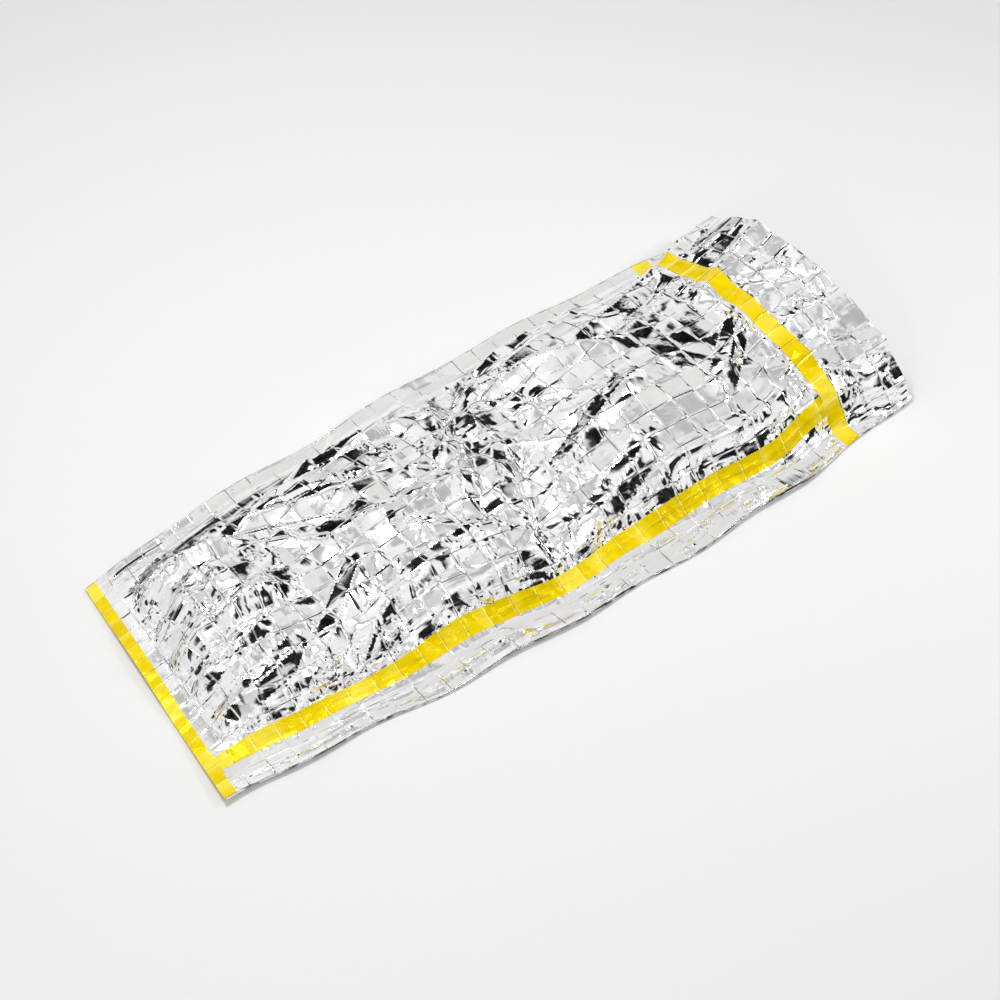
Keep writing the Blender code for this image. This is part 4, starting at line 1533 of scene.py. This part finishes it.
last = len(ACROSS) - 1
inner_columns = np.arange(line_at(ACROSS, LAP_FAR), -1, -1)
outer_columns = np.arange(last, line_at(ACROSS, LAP_NEAR) - 1, -1)
near_fold, near_flat = side_fold(-1)
far_fold, far_flat = side_fold(1)
film_parts = (
    upper_part(inner_columns, np.zeros(len(inner_columns))),
    (near_fold[:, ::-1], near_flat[:, ::-1]),
    lower_layer(),
    (far_fold, far_flat),
    upper_part(outer_columns, lap_lift(ACROSS[outer_columns])),
)
film_places = np.concatenate([part[0] for part in film_parts], axis=1)
film_flat = np.concatenate([part[1] for part in film_parts], axis=1)
print("film ring:", film_places.shape[1], "lines round and", film_places.shape[0], "along")

# %% The four lengths of film
FILM_NAMES = ("film_foot", "film_knee", "film_torso", "film_hood")
FILM_CUTS = (0, 8, 16, 24, 32)

for name, first, end in zip(FILM_NAMES, FILM_CUTS, FILM_CUTS[1:]):
    rows = slice(line_at(ALONG, first * CELL_ALONG), line_at(ALONG, end * CELL_ALONG) + 1)
    piece = make_sheet(name, film_places[rows], film_flat[rows], FILM_THICKNESS,
                       (FILM_OUTSIDE, FILM_INSIDE))
    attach(piece, "root")
    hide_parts("film")

# %% [markdown]
# ## The tapes
# All three are laid on the places of the film, a hair outside it, so they sink into its creases
# as stuck tape does. Strips with a shape of their own would float over the film or cut through
# it. The seam tape steps up over the outer layer's edge, the band's ends meet under the bag,
# and the foot tape turns over the foot edge.

# %% Following the film
OUTWARD = TAPE_GAP + TAPE_THICKNESS


def tape_offsets(columns):
    """Height of a tape's outer face over the inner layer, by column."""
    on_lap = columns >= line_at(ACROSS, LAP_NEAR)
    return OUTWARD + np.where(on_lap, lap_lift(ACROSS[columns]), 0.0)


def finish_tape(piece, node):
    """Attach one tape to the root body, and hide the part node that it stands for."""
    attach(piece, "root")
    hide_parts(node)


# %% The seam tape
seam_rows = slice(line_at(ALONG, SEAM_FROM), line_at(ALONG, SEAM_TO) + 1)
seam_columns = np.arange(line_at(ACROSS, TAPE_FAR), line_at(ACROSS, TAPE_NEAR) - 1, -1)
seam_places, seam_flat = upper_part(seam_columns, tape_offsets(seam_columns))
seam_strip = make_sheet("seam_strip", seam_places[seam_rows], seam_flat[seam_rows],
                        TAPE_THICKNESS, (TAPE_ALONG,))
finish_tape(seam_strip, "seam_tape")

# %% Places outside the film, all round the tube
all_columns = np.arange(last, -1, -1)
over_places, over_flat = upper_part(all_columns, tape_offsets(all_columns))
under_places, under_flat = lower_layer()
under_places[:, :, 2] -= OUTWARD


def outside_fold(side, fold):
    """Places round one side fold, outside the film."""
    fold = fold.copy()
    fold[:, :, 1] += side * OUTWARD * np.cos(FOLD_TURNS)
    fold[:, :, 2] += OUTWARD * np.sin(FOLD_TURNS)
    return fold


near_outside = outside_fold(-1, near_fold)
far_outside = outside_fold(1, far_fold)
print("the tapes lie", OUTWARD, "m outside the film")

# %% The hood band
ENDS_GAP = 0.001

band_rows = slice(line_at(ALONG, BAND_START), line_at(ALONG, BAND_END) + 1)
middle = len(floor_shares) // 2
near_half = under_places[:, :middle + 1].copy()
far_half = under_places[:, middle:].copy()
near_half[:, -1, 1] -= ENDS_GAP
far_half[:, 0, 1] += ENDS_GAP
band_places = np.concatenate((far_half, far_outside, over_places, near_outside[:, ::-1],
                              near_half), axis=1)
band_flat = np.concatenate((under_flat[:, middle:], far_flat, over_flat, near_flat[:, ::-1],
                            under_flat[:, :middle + 1]), axis=1)
band_strip = make_sheet("band_strip", band_places[band_rows], band_flat[band_rows],
                        TAPE_THICKNESS, (TAPE_ACROSS,))
finish_tape(band_strip, "hood_band")

# %% The foot tape
over_rows = slice(0, line_at(ALONG, FOOT_TAPE_OVER) + 1)
under_rows = slice(0, line_at(ALONG, FOOT_TAPE_UNDER) + 1)
top = over_places[over_rows]
y = top[0, :, 1]
bottom = np.stack([np.stack((np.interp(y, line[:, 1], line[:, 0]), y,
                             np.interp(y, line[:, 1], line[:, 2])), axis=1)
                   for line in under_places[under_rows]])
end_x = np.minimum(bottom[0, :, 0], top[0, :, 0]) - OUTWARD
turn_low, turn_high = bottom[0].copy(), top[0].copy()
turn_low[:, 0] = turn_high[:, 0] = end_x
foot_places = np.concatenate((bottom[::-1], turn_low[None], turn_high[None], top))
foot_flat = np.zeros(foot_places.shape[:2] + (3,))
foot_flat[:, :, 0] = ACROSS[all_columns]
foot_flat[:, :, 1] = np.linspace(-FOOT_TAPE_UNDER, FOOT_TAPE_OVER, len(foot_places))[:, None]
foot_strip = make_sheet("foot_strip", foot_places, foot_flat, TAPE_THICKNESS, (TAPE_ACROSS,))
finish_tape(foot_strip, "foot_tape")
